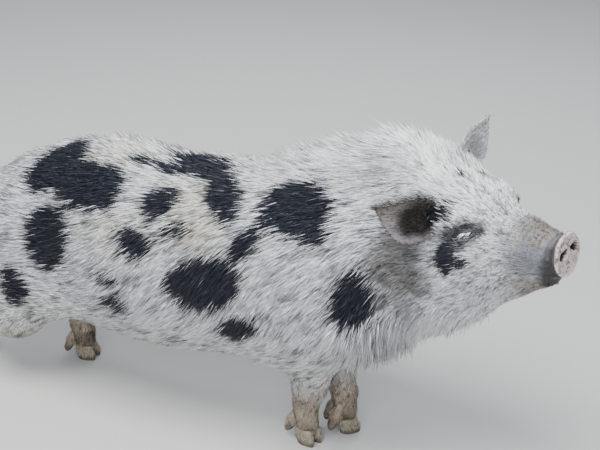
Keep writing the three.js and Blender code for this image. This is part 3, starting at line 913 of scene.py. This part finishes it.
def roots_on(mesh):
    """Random places on the skin: points and normals."""
    p, n, tri = vertices_of(mesh), normals_of(mesh), triangles_of(mesh)
    a, b, c = p[tri[:, 0]], p[tri[:, 1]], p[tri[:, 2]]
    area = np.linalg.norm(np.cross(b - a, c - a), axis=1) / 2
    weight = area * coat_density((a + b + c) / 3)
    count = TUFTS
    chosen = RNG.choice(len(tri), count, p=weight / weight.sum())
    u, v = RNG.random(count), RNG.random(count)
    over = u + v > 1
    u[over], v[over] = 1 - u[over], 1 - v[over]
    share = np.stack([1 - u - v, u, v], 1)[:, :, None]
    corners = tri[chosen]
    return (p[corners] * share).sum(1), unit((n[corners] * share).sum(1))


def tuft_points(root, out, along, long, wide, rise, curl):
    """Four points for each tuft, an arched leaf: its root, the two sides of its middle, and its tip."""
    def heading(angle):
        angle = np.radians(np.broadcast_to(angle, len(root)))[:, None]
        return along * np.cos(angle) + out * np.sin(angle)
    middle = root + heading(rise + curl) * (0.42 * long)[:, None]
    tip = middle + heading(rise - curl) * (0.58 * long)[:, None]
    side = np.cross(out, along) * (wide / 2)[:, None]
    return np.stack([root - out * 0.5, middle - side, middle + side, tip], 1)


def tuft_piece(name, points, root_colour, tip_colour, place, material):
    """One object of many tufts, its colour map laid out by place, two numbers from 0 to 1 for each tuft."""
    count = len(points)
    faces = (TUFT_FACES[None] + 4 * np.arange(count)[:, None, None]).reshape(-1, 3)
    ob = mesh_from(name, points.reshape(-1, 3), faces)
    uv = place[:, None, :] * (1 - PATCH) + TUFT_UV[None] * PATCH
    layer = ob.data.uv_layers.new(name="OFBake")
    layer.data.foreach_set("uv", uv.reshape(-1, 2)[faces.ravel()].astype(np.float32).ravel())
    middle = mix(root_colour, tip_colour, 0.6)
    colours = np.stack([root_colour, middle, middle, tip_colour], 1)
    hand_over(ob, colours.reshape(-1, 3), material, "coat")


def spread(values):
    """The values scaled to run from 0 to 1."""
    low, high = values.min(), values.max()
    return (values - low) / max(high - low, 1e-6)


def body_place(p):
    x, s = girth_place(p)
    return np.stack([spread(x), spread(s)], 1)


def head_place(p):
    h = to_head(p)
    angle = np.arctan2(h[:, 1], h[:, 2] + 10)
    return np.stack([spread(h[:, 0]), spread(angle)], 1)


def leg_place(p, legs=2):
    """Each of the legs in a piece has its share of the map: the angle round it across, its height up."""
    middles = np.array([centre(f"{leg}_lower")[:2] for leg in LEGS])
    away = p[:, None, :2] - middles[None]
    leg = np.linalg.norm(away, axis=2).argmin(1)
    d = away[np.arange(len(p)), leg]
    angle = np.arctan2(d[:, 1], d[:, 0]) / (2 * np.pi) + 0.5
    return np.stack([(leg % legs + 0.02 + 0.96 * angle) / legs, spread(p[:, 2])], 1)


def coat_pieces(p):
    """Names the piece of coat for each root, with the way its colour map is laid out."""
    h = to_head(p)
    on_head = h[:, 0] > -28
    on_leg = ~on_head & (p[:, 2] < 118)
    rest = ~on_head & ~on_leg
    right = np.where(on_head, h[:, 1], p[:, 1]) < 0
    cuts = np.array([-1e4, TRUNK_LOW[0] + 150, FRONT_X - 190, FRONT_X - 40, 1e4])
    yield "coat_legs_front", on_leg & (p[:, 0] > 0), leg_place
    yield "coat_legs_hind", on_leg & (p[:, 0] <= 0), leg_place
    for word, side in (("right", right), ("left", ~right)):
        yield f"coat_head_{word}", on_head & side, head_place
        for part, low, high in zip(("rump", "flank", "shoulder", "neck"), cuts[:-1], cuts[1:]):
            yield f"coat_{part}_{word}", rest & side & (p[:, 0] >= low) & (p[:, 0] < high), body_place


def nearest_of(p, leaders):
    """For each point the number of the nearest leader, and how far it is."""
    tree = KDTree(len(leaders))
    for i, q in enumerate(leaders.tolist()):
        tree.insert(q, i)
    tree.balance()
    found = [tree.find(q)[1:] for q in p.tolist()]
    number, away = np.array(found).T
    return number.astype(int), away


def gathered(p, n, along, long):
    """Directions with each lock's tips drawn together, each tuft's lock and place in it, and streaks for
    the painted shade between locks.
    """
    leaders = RNG.permutation(len(p))[: len(p) // LOCK_TUFTS]
    ahead = to_head(p)[:, 0]
    flow = np.where((ahead > 0)[:, None], -HEAD_AXES[0], LOCK_ALONG)
    narrowed = p - LOCK_NARROWED * np.sum(p * flow, axis=1, keepdims=True) * flow
    lock, away = nearest_of(narrowed, narrowed[leaders])
    own = along * long[:, None]
    lead = p[leaders][lock] - p + along[leaders][lock] * long[:, None]
    pulled = across(unit(blend(own, lead, LOCK_PULL * (away < LOCK_REACH))), n)
    fine = narrowed * mix(1.0, 1.45, step(ahead, -20, 20))[:, None]
    streak = 0.65 * noise(fine, 2.2, 62) + 0.65 * noise(fine, 4.0, 63) + 0.25 * noise(fine, 9, 64)
    return pulled, lock, away, streak


def tuft_colours(p, long, lock, away, streak):
    """Root and tip colours: each tuft is black or white, and the two mingle where spots end."""
    count = len(p)
    dark = darkness(p + RNG.normal(0, 1, (count, 3)) * (long * 0.13)[:, None])
    flip = RNG.random(count)
    black = np.where(dark > 0.5, 0.74 + 0.26 * step(flip, 0.0, 0.03), 1 - step(flip, 0.0, 0.035))
    black = np.where((dark > 0.06) & (dark < 0.94), dark > flip, black) * step(p[:, 2], 80, 130)
    # shade is each tuft's brightness: a random tone, with painted shade in darker locks, dark streaks and
    # the darker edges of each lock, where shadow falls between locks
    lock_shade = RNG.normal(0, 1, lock.max() + 1)[lock]
    lock_edge_shade = step(away / np.interp(long, [4, 20], [1.2, 2.4]), 0.6, 1.6)
    shaded_lock = step(lock_shade, 0.7, 1.5)
    shade = 1.22 + 0.10 * RNG.normal(0, 1, count) + 0.12 * lock_shade
    shade -= mix(0.26, 0.12, step(to_head(p)[:, 0], -20, 20)) * shaded_lock
    shade += 1.4 * np.minimum(streak, 0.08) + 0.08 * noise(p, 14, 61) - 0.34 * lock_edge_shade
    pale = coat_colour(p) * np.clip(shade, 0.28, 1.25)[:, None]
    tip = blend(pale, blend(BLACK, BLACK_SHEEN, RNG.random(count) ** 2), black)
    return blend(pale * ROOT_SHADE, BLACK, black), tip


def grow_coat(skin, material):
    p, n = roots_on(skin.data)
    count = len(p)
    long = coat_long(p) * np.clip(RNG.normal(1, 0.2, count), 0.45, 1.5)
    wide = np.interp(long, [3, 9, 27, 50], [0.46, 0.56, 0.74, 0.85]) * RNG.uniform(0.65, 1.35, count)
    wide *= 1 - 0.45 * ear_share(p)
    along = unit(lie_of(p, n) + RNG.normal(0, 0.17, (count, 3)))
    along, lock, away, streak = gathered(p, n, along, long)
    rise = np.clip(coat_rise(p) + RNG.normal(0, 6, count) * (1 + 1.4 * fringe_share(p)), 4, 75)
    curl = np.clip(RNG.normal(3.5, 2.5, count), -2, 9)
    points = tuft_points(p, n, along, long, wide, rise, curl)
    seen = p + along * (RNG.uniform(0.2, 0.9, count) * long)[:, None]  # where each takes its colour
    root, tip = tuft_colours(seen, long, lock, away, streak)
    for name, chosen, place in coat_pieces(p):
        tuft_piece(name, points[chosen], root[chosen], tip[chosen], place(p[chosen]), material)


# ---- Materials ----


def new_material(name, roughness, specular):
    material = bpy.data.materials.new(name)
    material.use_nodes = True
    shader = material.node_tree.nodes["Principled BSDF"]
    shader.inputs["Roughness"].default_value = roughness
    shader.inputs["Specular IOR Level"].default_value = specular
    return material, shader


def texture(tree, kind, scale, **sockets):
    """A texture node read at places on the object, in metres."""
    place = tree.nodes.new("ShaderNodeTexCoord")
    node = tree.nodes.new(kind)
    node.inputs["Scale"].default_value = scale
    for key, value in sockets.items():
        node.inputs[key].default_value = value
    tree.links.new(place.outputs["Object"], node.inputs["Vector"])
    return node


def varied(tree, grain, low, high):
    """The painted tone times a brightness that runs from low to high with a texture."""
    tone = tree.nodes.new("ShaderNodeAttribute")
    tone.attribute_name = "tone"
    ramp = tree.nodes.new("ShaderNodeMapRange")
    ramp.inputs["To Min"].default_value = low
    ramp.inputs["To Max"].default_value = high
    tree.links.new(grain.outputs[0], ramp.inputs["Value"])
    times = tree.nodes.new("ShaderNodeVectorMath")
    times.operation = "SCALE"
    tree.links.new(tone.outputs["Color"], times.inputs[0])
    tree.links.new(ramp.outputs[0], times.inputs["Scale"])
    return times.outputs[0]


def add_bump(tree, shader, height, strength, distance):
    """Raises the surface by a texture, over any bump that the shader has already."""
    node = tree.nodes.new("ShaderNodeBump")
    node.inputs["Strength"].default_value = strength
    node.inputs["Distance"].default_value = distance
    tree.links.new(height.outputs[0], node.inputs["Height"])
    for link in shader.inputs["Normal"].links:
        tree.links.new(link.from_socket, node.inputs["Normal"])
    tree.links.new(node.outputs["Normal"], shader.inputs["Normal"])


def grained(name, roughness, specular, scale, low, high, **sockets):
    """A material whose painted tone varies with a fine noise."""
    material, shader = new_material(name, roughness, specular)
    tree = material.node_tree
    grain = texture(tree, "ShaderNodeTexNoise", scale, **sockets)
    tree.links.new(varied(tree, grain, low, high), shader.inputs["Base Color"])
    return material, shader, grain


def coat_material():
    return grained("coat_bristle", 0.5, 0.35, 900, 0.86, 1.12, Detail=1.0)[0]


def skin_material():
    made = grained("skin_hide", 0.62, 0.4, 260, 0.72, 1.26, Detail=6.0, Roughness=0.65)
    return pored(*made, pores=(620, 0.35, 0.0006), relief=(0.5, 0.0012))


def disc_material():
    made = grained("snout_hide", 0.42, 0.5, 420, 0.80, 1.16, Detail=5.0, Roughness=0.6)
    return pored(*made, pores=(700, 0.4, 0.0007), relief=(0.4, 0.001))


def pored(material, shader, grain, pores, relief):
    """Adds pores, given by scale, strength and depth, and the grain's own relief."""
    tree = material.node_tree
    add_bump(tree, shader, texture(tree, "ShaderNodeTexVoronoi", pores[0]), *pores[1:])
    add_bump(tree, shader, grain, *relief)
    return material


def horn_material():
    material, shader, grain = grained("claw_horn", 0.55, 0.4, 300, 0.70, 1.22, Detail=5.0, Roughness=0.7)
    add_bump(material.node_tree, shader, grain, 0.45, 0.0012)
    return material


def eye_material():
    material, shader, _ = grained("eye_wet", 0.12, 0.6, 1600, 0.8, 1.2, Detail=3.0)
    shader.inputs["Coat Weight"].default_value = 1.0
    shader.inputs["Coat Roughness"].default_value = 0.03
    return material


# ---- Snout disc ----

DISC_ROUND = 112  # points round each ring
DISC_SET_BACK = 2.5  # from the CAD disc's face
FACE_RING = 7  # the first ring of the profile that lies on the disc's face
NOSTRIL_ASIDE = 11.0
NOSTRIL_SHIFT = 2.0  # both lie a little to the left
NOSTRIL_UP = 4.5
NOSTRIL_DEEP = 11.0
NOSTRIL_SLANT = math.radians(26)


def disc_hollows(y, z):
    """0 to 1: how far each point of the disc's face lies inside a nostril."""
    hollow = np.zeros(np.broadcast(y, z).shape)
    for side in (1, -1):
        u, v = y - NOSTRIL_SHIFT - NOSTRIL_ASIDE * side, z - NOSTRIL_UP
        long = -side * u * math.cos(NOSTRIL_SLANT) + v * math.sin(NOSTRIL_SLANT)
        wide = side * u * math.sin(NOSTRIL_SLANT) + v * math.cos(NOSTRIL_SLANT)
        slit = 1 - step(np.hypot(long / 9.0, wide / 3.6), 0.5, 1.15)
        hole = 1 - step(np.hypot((long + 3.2) / 5.8, wide / 5.2), 0.6, 1.15)
        hollow = np.maximum.reduce([hollow, 0.8 * slit, hole])
    return hollow


def snout_disc(material):
    """The snout's disc: a rolled rim round a face with two nostrils, its side darkened with painted shade
    like the snout behind it.
    """
    p = to_head(vertices_of(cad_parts["snout_disc"].data))
    back, front = p[:, 0].min(), p[:, 0].max() - DISC_SET_BACK
    half_wide, half_high = np.abs(p[:, 1]).max() * 0.97, np.abs(p[:, 2]).max()
    profile = [(back - 3, 0.86), (back + 0.5, 0.93), (back + 2.5, 0.97), (front - 4.2, 0.992)]
    profile += [(front - 2.8, 1.0), (front - 1.5, 0.992), (front - 0.5, 0.965), (front, 0.925)]
    profile += [(front, 0.88), (front - 0.5, 0.83), (front - 1.0, 0.78)]
    profile += [(front - 1.0 + 1.2 * (0.76 - r), r) for r in np.linspace(0.76, 0.03, 34)]
    angle = np.linspace(0, 2 * np.pi, DISC_ROUND, endpoint=False)
    x, r = np.array(profile).T[:, :, None]
    shape = 1 + 0.015 * np.cos(2 * angle) - 0.035 * bump(angle, np.pi / 2, 0.5) - 0.01 * np.sin(5 * angle)
    y, z = r * half_wide * np.cos(angle) * shape, r * half_high * np.sin(angle) * shape
    facing = step(r, 1.0, 0.9) * (np.arange(len(profile)) >= FACE_RING)[:, None]
    hollow = disc_hollows(y, z) * facing
    x = x - NOSTRIL_DEEP * hollow - 0.9 * bump(y, 0, 3.5) * bump(z, -6, 20) * facing
    aside = np.abs(y - NOSTRIL_SHIFT) - NOSTRIL_ASIDE
    x = x + 0.9 * bump(np.hypot(aside / 1.3, z - NOSTRIL_UP), 8.5, 3.5) * facing
    flat = np.stack([x, y, z], 2).reshape(-1, 3)
    rough = 0.4 * noise(flat, 5, 71) + 0.3 * noise(flat, 2.2, 72)
    flat[:, 0] += rough * facing.repeat(DISC_ROUND, 1).ravel()
    rings = len(profile)
    a = np.arange(rings * DISC_ROUND).reshape(rings, DISC_ROUND)
    b = np.roll(a, -1, 1)
    faces = np.stack([a[:-1], b[:-1], b[1:], a[1:]], 2).reshape(-1, 4)
    ob = mesh_from("snout_disc_flesh", from_head(flat), faces)
    close_ends(ob.data)
    colours = disc_colour(flat, hollow.ravel(), np.repeat(np.arange(rings), DISC_ROUND))
    hand_over(ob, colours, material, "bare_skin", "snout_disc")


def disc_colour(flat, hollow, ring):
    """Pale pink with dark specks and soil; a painted highlight on the rim, and painted shade in the
    nostrils and on the side.
    """
    colour = blend(np.array([0.48, 0.37, 0.35]), (0.74, 0.63, 0.60), 0.5 + 0.5 * noise(flat, 9, 73))
    # painted highlight along the rolled rim
    colour = blend(colour, (0.80, 0.73, 0.67), 0.6 * bump(ring, FACE_RING, 2.5))
    specks = step(noise(flat, 1.9, 74) + 0.40 * noise(flat, 8, 75), 0.26, 0.50)
    colour = blend(colour, (0.09, 0.075, 0.07), 0.9 * specks)
    colour = blend(colour, (0.27, 0.20, 0.16), 0.6 * step(noise(flat, 7, 77), 0.1, 0.7))
    # painted shade on the disc's side
    disc_side_shade = np.interp(ring, [3, 5], [1, 0]) * (0.9 + 0.3 * noise(flat, 8, 76))
    colour = blend(colour, (0.06, 0.055, 0.06), np.clip(disc_side_shade, 0, 0.97))
    # painted shade deep in the nostrils
    return blend(colour, (0.015, 0.010, 0.010), step(hollow, 0.02, 0.22))


def close_ends(mesh):
    """Fills the open rings of a lofted mesh and turns its faces outward."""
    with editing(mesh) as bm:
        bmesh.ops.holes_fill(bm, edges=[e for e in bm.edges if e.is_boundary], sides=0)
        bmesh.ops.triangulate(bm, faces=[f for f in bm.faces if len(f.verts) > 4])
        bmesh.ops.recalc_face_normals(bm, faces=bm.faces)


# ---- Eyes and lashes ----

EYEBALL_SHARE = 0.90  # of the CAD cap's radius, so that it sits behind the lids
# Colours round the black pupil, each with the shares of the radius where it sets in.
EYE_RINGS = (
    ((0.018, 0.010, 0.006), 0.30, 0.36),
    ((0.020, 0.012, 0.008), 0.56, 0.66),
    ((0.100, 0.080, 0.075), 0.74, 0.86),
)


def eyeball(node, side, material):
    """A dark eye with a raised cornea: pupil, iris, its rim and the white, from the middle out."""
    mesh = bpy.data.meshes.new(node + "_ball")
    radius = EYE_R * EYEBALL_SHARE
    with editing(mesh) as bm:
        bmesh.ops.create_uvsphere(bm, u_segments=56, v_segments=36, radius=radius * MM)
    out, ahead, up = eye_axes(side)
    p = vertices_of(mesh)
    off = np.where(p[:, 2] > 0, np.hypot(p[:, 0], p[:, 1]) / radius, 1.0)
    local = p @ np.stack([ahead, up, out])  # the sphere's pole looks outward
    local *= (1 + 0.7 * (1 - step(off, 0.35, 0.72)) / EYE_R)[:, None]
    move_vertices(mesh, from_head(EYES[side] + local))
    colour = np.full((len(p), 3), 0.002)
    for tone, low, high in EYE_RINGS:
        colour = blend(colour, tone, step(off, low, high))
    hand_over(add_object(mesh.name, mesh), colour, material, "eye", node)


LASHES = 44
LASH_CLUMPS = 5
LASH_LONG = 10.5


def lashes(side, material):
    """White lashes along the upper lid, drooping over the eye, with a few below."""
    rng = np.random.default_rng(77 + side)
    out, ahead, up = eye_axes(side)
    lower = np.arange(LASHES) % 8 == 7
    clump = rng.integers(0, LASH_CLUMPS, LASHES) / (LASH_CLUMPS - 1)
    a = EYE_HALF_WIDE * (clump - 0.45) + rng.normal(0, 0.25, LASHES)
    arc = np.sqrt(np.maximum(1 - (a / (EYE_HALF_WIDE + 2)) ** 2, 0))
    b = np.where(lower, -1, 1) * (EYE_HALF_OPEN + 0.6) * arc + EYE_SLANT * a + EYE_LIFT
    ball = EYE_R + LID_GAP
    c = np.sqrt(np.maximum(ball**2 - a**2 - b**2, 4))
    root = EYES[side] + a[:, None] * ahead + b[:, None] * up + c[:, None] * out
    droop = np.where(lower, -0.35, rng.uniform(-1.4, -0.9, LASHES))
    back = 0.30 * a / EYE_HALF_WIDE - 0.75 + rng.normal(0, 0.10, LASHES)
    along = unit(out + droop[:, None] * up + back[:, None] * ahead)
    bend = unit(np.cross(along, np.cross(up, along)))
    long = LASH_LONG * rng.uniform(0.5, 1.05, LASHES) * np.where(lower, 0.6, 1)
    wide = rng.uniform(0.28, 0.46, LASHES)
    points = tuft_points(from_head(root), bend @ HEAD_AXES, along @ HEAD_AXES, long, wide, 4, 7)
    tip = np.tile(WHITE * 1.05, (LASHES, 1))
    place = np.stack([np.linspace(0, 1, LASHES), np.arange(LASHES) % 4 / 3], 1)
    tuft_piece("lashes_left" if side > 0 else "lashes_right", points, tip * 0.8, tip, place, material)


# ---- Ear hair ----

EAR_FRINGE = 900
EAR_TUFTS = {"ear_right": 3600, "ear_left": 700}


def ear_map(node, t, p, chosen):
    """Places on the colour map: along the ear and across it."""
    return np.stack([spread(t[chosen]), spread(across_ear(node, p[chosen]))], 1)


def ear_hair(skin, material):
    """Longer hair that fills the hollow of each ear at its root, brown-black in the right one."""
    p, n = vertices_of(skin.data), normals_of(skin.data)
    rng = np.random.default_rng(99)
    dark = darkness(p)
    for node, t, away in ear_places(p):
        count = EAR_TUFTS[node]
        opening = opening_of(node)
        inside = (t > -0.05) * (1 - step(t, 0.2, 0.6)) * (1 - step(away, 16, 38)) * (n @ opening > 0.15)
        weight = inside * (dark**3 if node == "ear_right" else 1.0)
        chosen = rng.choice(len(p), count, p=weight / weight.sum())
        root, tip = EAR_LINES[node]
        base = p[chosen] + rng.normal(0, 1.2, (count, 3))
        out = n[chosen]
        along = across(unit(unit(tip - root) + 0.3 * opening + rng.normal(0, 0.25, (count, 3))), out)
        long, wide = rng.uniform(8, 17, count), rng.uniform(0.3, 0.55, count)
        points = tuft_points(base, out, along, long, wide, rng.uniform(8, 35, count), 3)
        pale = (rng.random(count) > 0.985) | (node == "ear_left")
        hue = np.where((rng.random(count) < dark[chosen] ** 1.5)[:, None], EAR_BROWN * 0.3, EAR_BROWN)
        colour = np.where(pale[:, None], WHITE * (0.75 if node == "ear_left" else 0.3), hue)
        tuft_piece(node + "_hair", points, colour * 0.5, colour, ear_map(node, t, p, chosen), material)


def ear_fringe(skin, material):
    """Brown hair that stands along the upper edge of the right ear."""
    node = "ear_right"
    p = vertices_of(skin.data)
    rng = np.random.default_rng(98)
    share = dict(ear_shares(p))[node]
    t = next(t for name, t, _ in ear_places(p) if name == node)
    steps, low, _ = EAR_OUTLINES[node]
    edge = np.flatnonzero((share > 0.6) & (across_ear(node, p) - np.interp(t, steps, low) < 5) & (t > 0.1))
    count = EAR_FRINGE
    chosen = rng.choice(edge, count)
    root, tip = EAR_LINES[node]
    opening = opening_of(node)
    rise = unit(np.cross(tip - root, opening))
    base = p[chosen] + rng.normal(0, 0.8, (count, 3))
    back = unit(tip - root) + rng.uniform(0.15, 0.8, count)[:, None] * rise
    along = unit(back + rng.normal(0, 0.15, (count, 3)))
    long, wide = rng.uniform(5, 12, count), rng.uniform(0.25, 0.45, count)
    out = np.tile(opening, (count, 1))
    points = tuft_points(base, out, along, long, wide, rng.uniform(0, 14, count), 4)
    pale = (rng.random(count) > 0.7)[:, None]
    colour = np.where(pale, WHITE * 0.45, EAR_BROWN * rng.uniform(0.6, 2.2, count)[:, None])
    tuft_piece("ear_right_fringe", points, colour * 0.6, colour, ear_map(node, t, p, chosen), material)


# ---- Claws ----

HORN_VOXEL = 0.9


def horn(node, material):
    """A claw or dewclaw with soft edges, growth rings and a worn, soiled rim; its sole stays flat."""
    ob = joined(node + "_horn", [node], 0)
    remesh(ob, HORN_VOXEL)
    relax(ob, 9)
    p, n = vertices_of(ob.data), normals_of(ob.data)
    up = spread(p[:, 2])
    rings = np.sin(p[:, 2] / 2.6 * 2 * np.pi / 1.6 + 1.5 * noise(p, 9, 81))
    side = 1 - np.abs(n[:, 2])
    move = (0.16 * rings + 0.3 * noise(p, 5, 82)) * side * step(up, 0.05, 0.25)
    p = p + n * move[:, None]
    if "dewclaw" not in node:
        p[:, 2] = np.where(p[:, 2] < 1.2, 0.0, p[:, 2])
    move_vertices(ob.data, p)
    colour = blend(np.array([0.16, 0.125, 0.095]), (0.34, 0.275, 0.215), 0.5 + 0.5 * noise(p, 8, 83))
    soil = np.clip(1.25 - 1.7 * up + 0.5 * noise(p, 6, 84), 0, 0.92)
    colour = blend(colour, (0.085, 0.066, 0.048), soil)
    colour = blend(colour, (0.42, 0.33, 0.26), 0.5 * step(up, 0.75, 0.95))
    hand_over(ob, colour, material, "claw", node)
    return ob


CLAW_TUFTS = 620  # hairs that hang over the upper half of each claw, and a third of this on each dewclaw


def claw_hair(horns, material):
    """Hair from the foot lying down over the upper half of the claws."""
    rng = np.random.default_rng(97)
    roots, outs = [], []
    for ob in horns:
        p, n = vertices_of(ob.data), normals_of(ob.data)
        count = CLAW_TUFTS // 3 if "dewclaw" in ob.name else CLAW_TUFTS
        chosen = rng.choice(np.flatnonzero((spread(p[:, 2]) > 0.48) & (n[:, 2] < 0.95)), count)
        roots.append(p[chosen])
        outs.append(n[chosen])
    p, n = np.concatenate(roots), np.concatenate(outs)
    count = len(p)
    along = across(np.array([0.0, 0.0, -1.0]) + rng.normal(0, 0.22, (count, 3)), n)
    long, wide = rng.uniform(5, 10, count), rng.uniform(0.35, 0.65, count)
    points = tuft_points(p, n, along, long, wide, rng.uniform(2, 12, count), 3)
    points[:, :, 2] = np.maximum(points[:, :, 2], 2.0)
    colour = LEG_CREAM * rng.uniform(0.7, 1.7, count)[:, None]
    tuft_piece("coat_claws", points, colour * 0.6, colour, leg_place(p, len(LEGS)), material)


# ---- Camera, light and floor ----

CAMERA_ROUND = 23.0  # degrees about the pig from its right side towards its head
CAMERA_UP = 25.0
CAMERA_AWAY = 1.585  # metres
CAMERA_ROLL = 2.3
CAMERA_LENS = 69
AIM = (0.6004, 0.5, 0.6614)  # shares of the model's box
FLOOR_HALF = 4000
FLOOR_TONE = (0.55, 0.55, 0.54, 1)


def aim_at(ob, place, target, roll=0.0):
    turn = (Vector(target) - Vector(place)).to_track_quat("-Z", "Y").to_matrix()
    ob.matrix_world = Matrix.Translation(place) @ (turn @ Matrix.Rotation(roll, 3, "Z")).to_4x4()


def around(target, azimuth, elevation, distance):
    a, e = math.radians(azimuth), math.radians(elevation)
    away = Vector((math.sin(a) * math.cos(e), -math.cos(a) * math.cos(e), math.sin(e)))
    return Vector(target) + away * distance


def add_camera():
    camera = add_object("camera", bpy.data.cameras.new("camera"))
    camera.data.lens = CAMERA_LENS
    camera.data.sensor_width = 36
    camera.data.clip_start = 0.05
    target = CAD_LOW + (CAD_HIGH - CAD_LOW) * Vector(AIM)
    place = around(target, CAMERA_ROUND, CAMERA_UP, CAMERA_AWAY)
    aim_at(camera, place, target, math.radians(CAMERA_ROLL))
    bpy.context.scene.camera = camera


def add_light(name, azimuth, elevation, distance, size, power, tint):
    light = add_object(name, bpy.data.lights.new(name, "AREA"))
    light.data.size = size
    light.data.energy = power
    light.data.color = tint
    middle = (CAD_LOW + CAD_HIGH) / 2
    aim_at(light, around(middle, azimuth, elevation, distance), middle)


def add_studio():
    add_light("key", -10, 66, 2.2, 1.3, 90, (1.0, 0.985, 0.96))
    add_light("fill", 16, 24, 2.4, 1.6, 39, (0.94, 0.97, 1.0))
    add_light("rim", 190, 45, 2.4, 1.6, 24, (1.0, 1.0, 1.0))
    world = bpy.data.worlds.new("studio")
    world.use_nodes = True
    background = world.node_tree.nodes["Background"]
    background.inputs["Color"].default_value = (0.80, 0.86, 0.95, 1)
    background.inputs["Strength"].default_value = 0.66
    bpy.context.scene.world = world
    corners = FLOOR_HALF * np.array([[-1.0, -1, 0], [1, -1, 0], [1, 1, 0], [-1, 1, 0]])
    floor = mesh_from("floor", corners, np.array([[0, 1, 2, 3]]))
    material, shader = new_material("floor_plain", 0.8, 0.2)
    shader.inputs["Base Color"].default_value = FLOOR_TONE
    floor.data.materials.append(material)


# ---- The model ----


def make_skin():
    ob = with_ears(body_skin())
    sculpt(ob)
    hand_over(ob, skin_colour(vertices_of(ob.data)), skin_material(), "coat", *FLESH, *EARS)
    return ob


add_camera()
add_studio()
skin = make_skin()
bristle = coat_material()
grow_coat(skin, bristle)
ear_hair(skin, bristle)
ear_fringe(skin, bristle)
snout_disc(disc_material())
wet = eye_material()
for side, node in ((1, "eye_left"), (-1, "eye_right")):
    eyeball(node, side, wet)
    lashes(side, bristle)
horny = horn_material()
horns = []
for leg in LEGS:
    for word in ("left", "right"):
        horns.append(horn(f"{leg}_claw_{word}", horny))
        horns.append(horn(f"{leg}_dewclaw_{word}", horny))
claw_hair(horns, bristle)
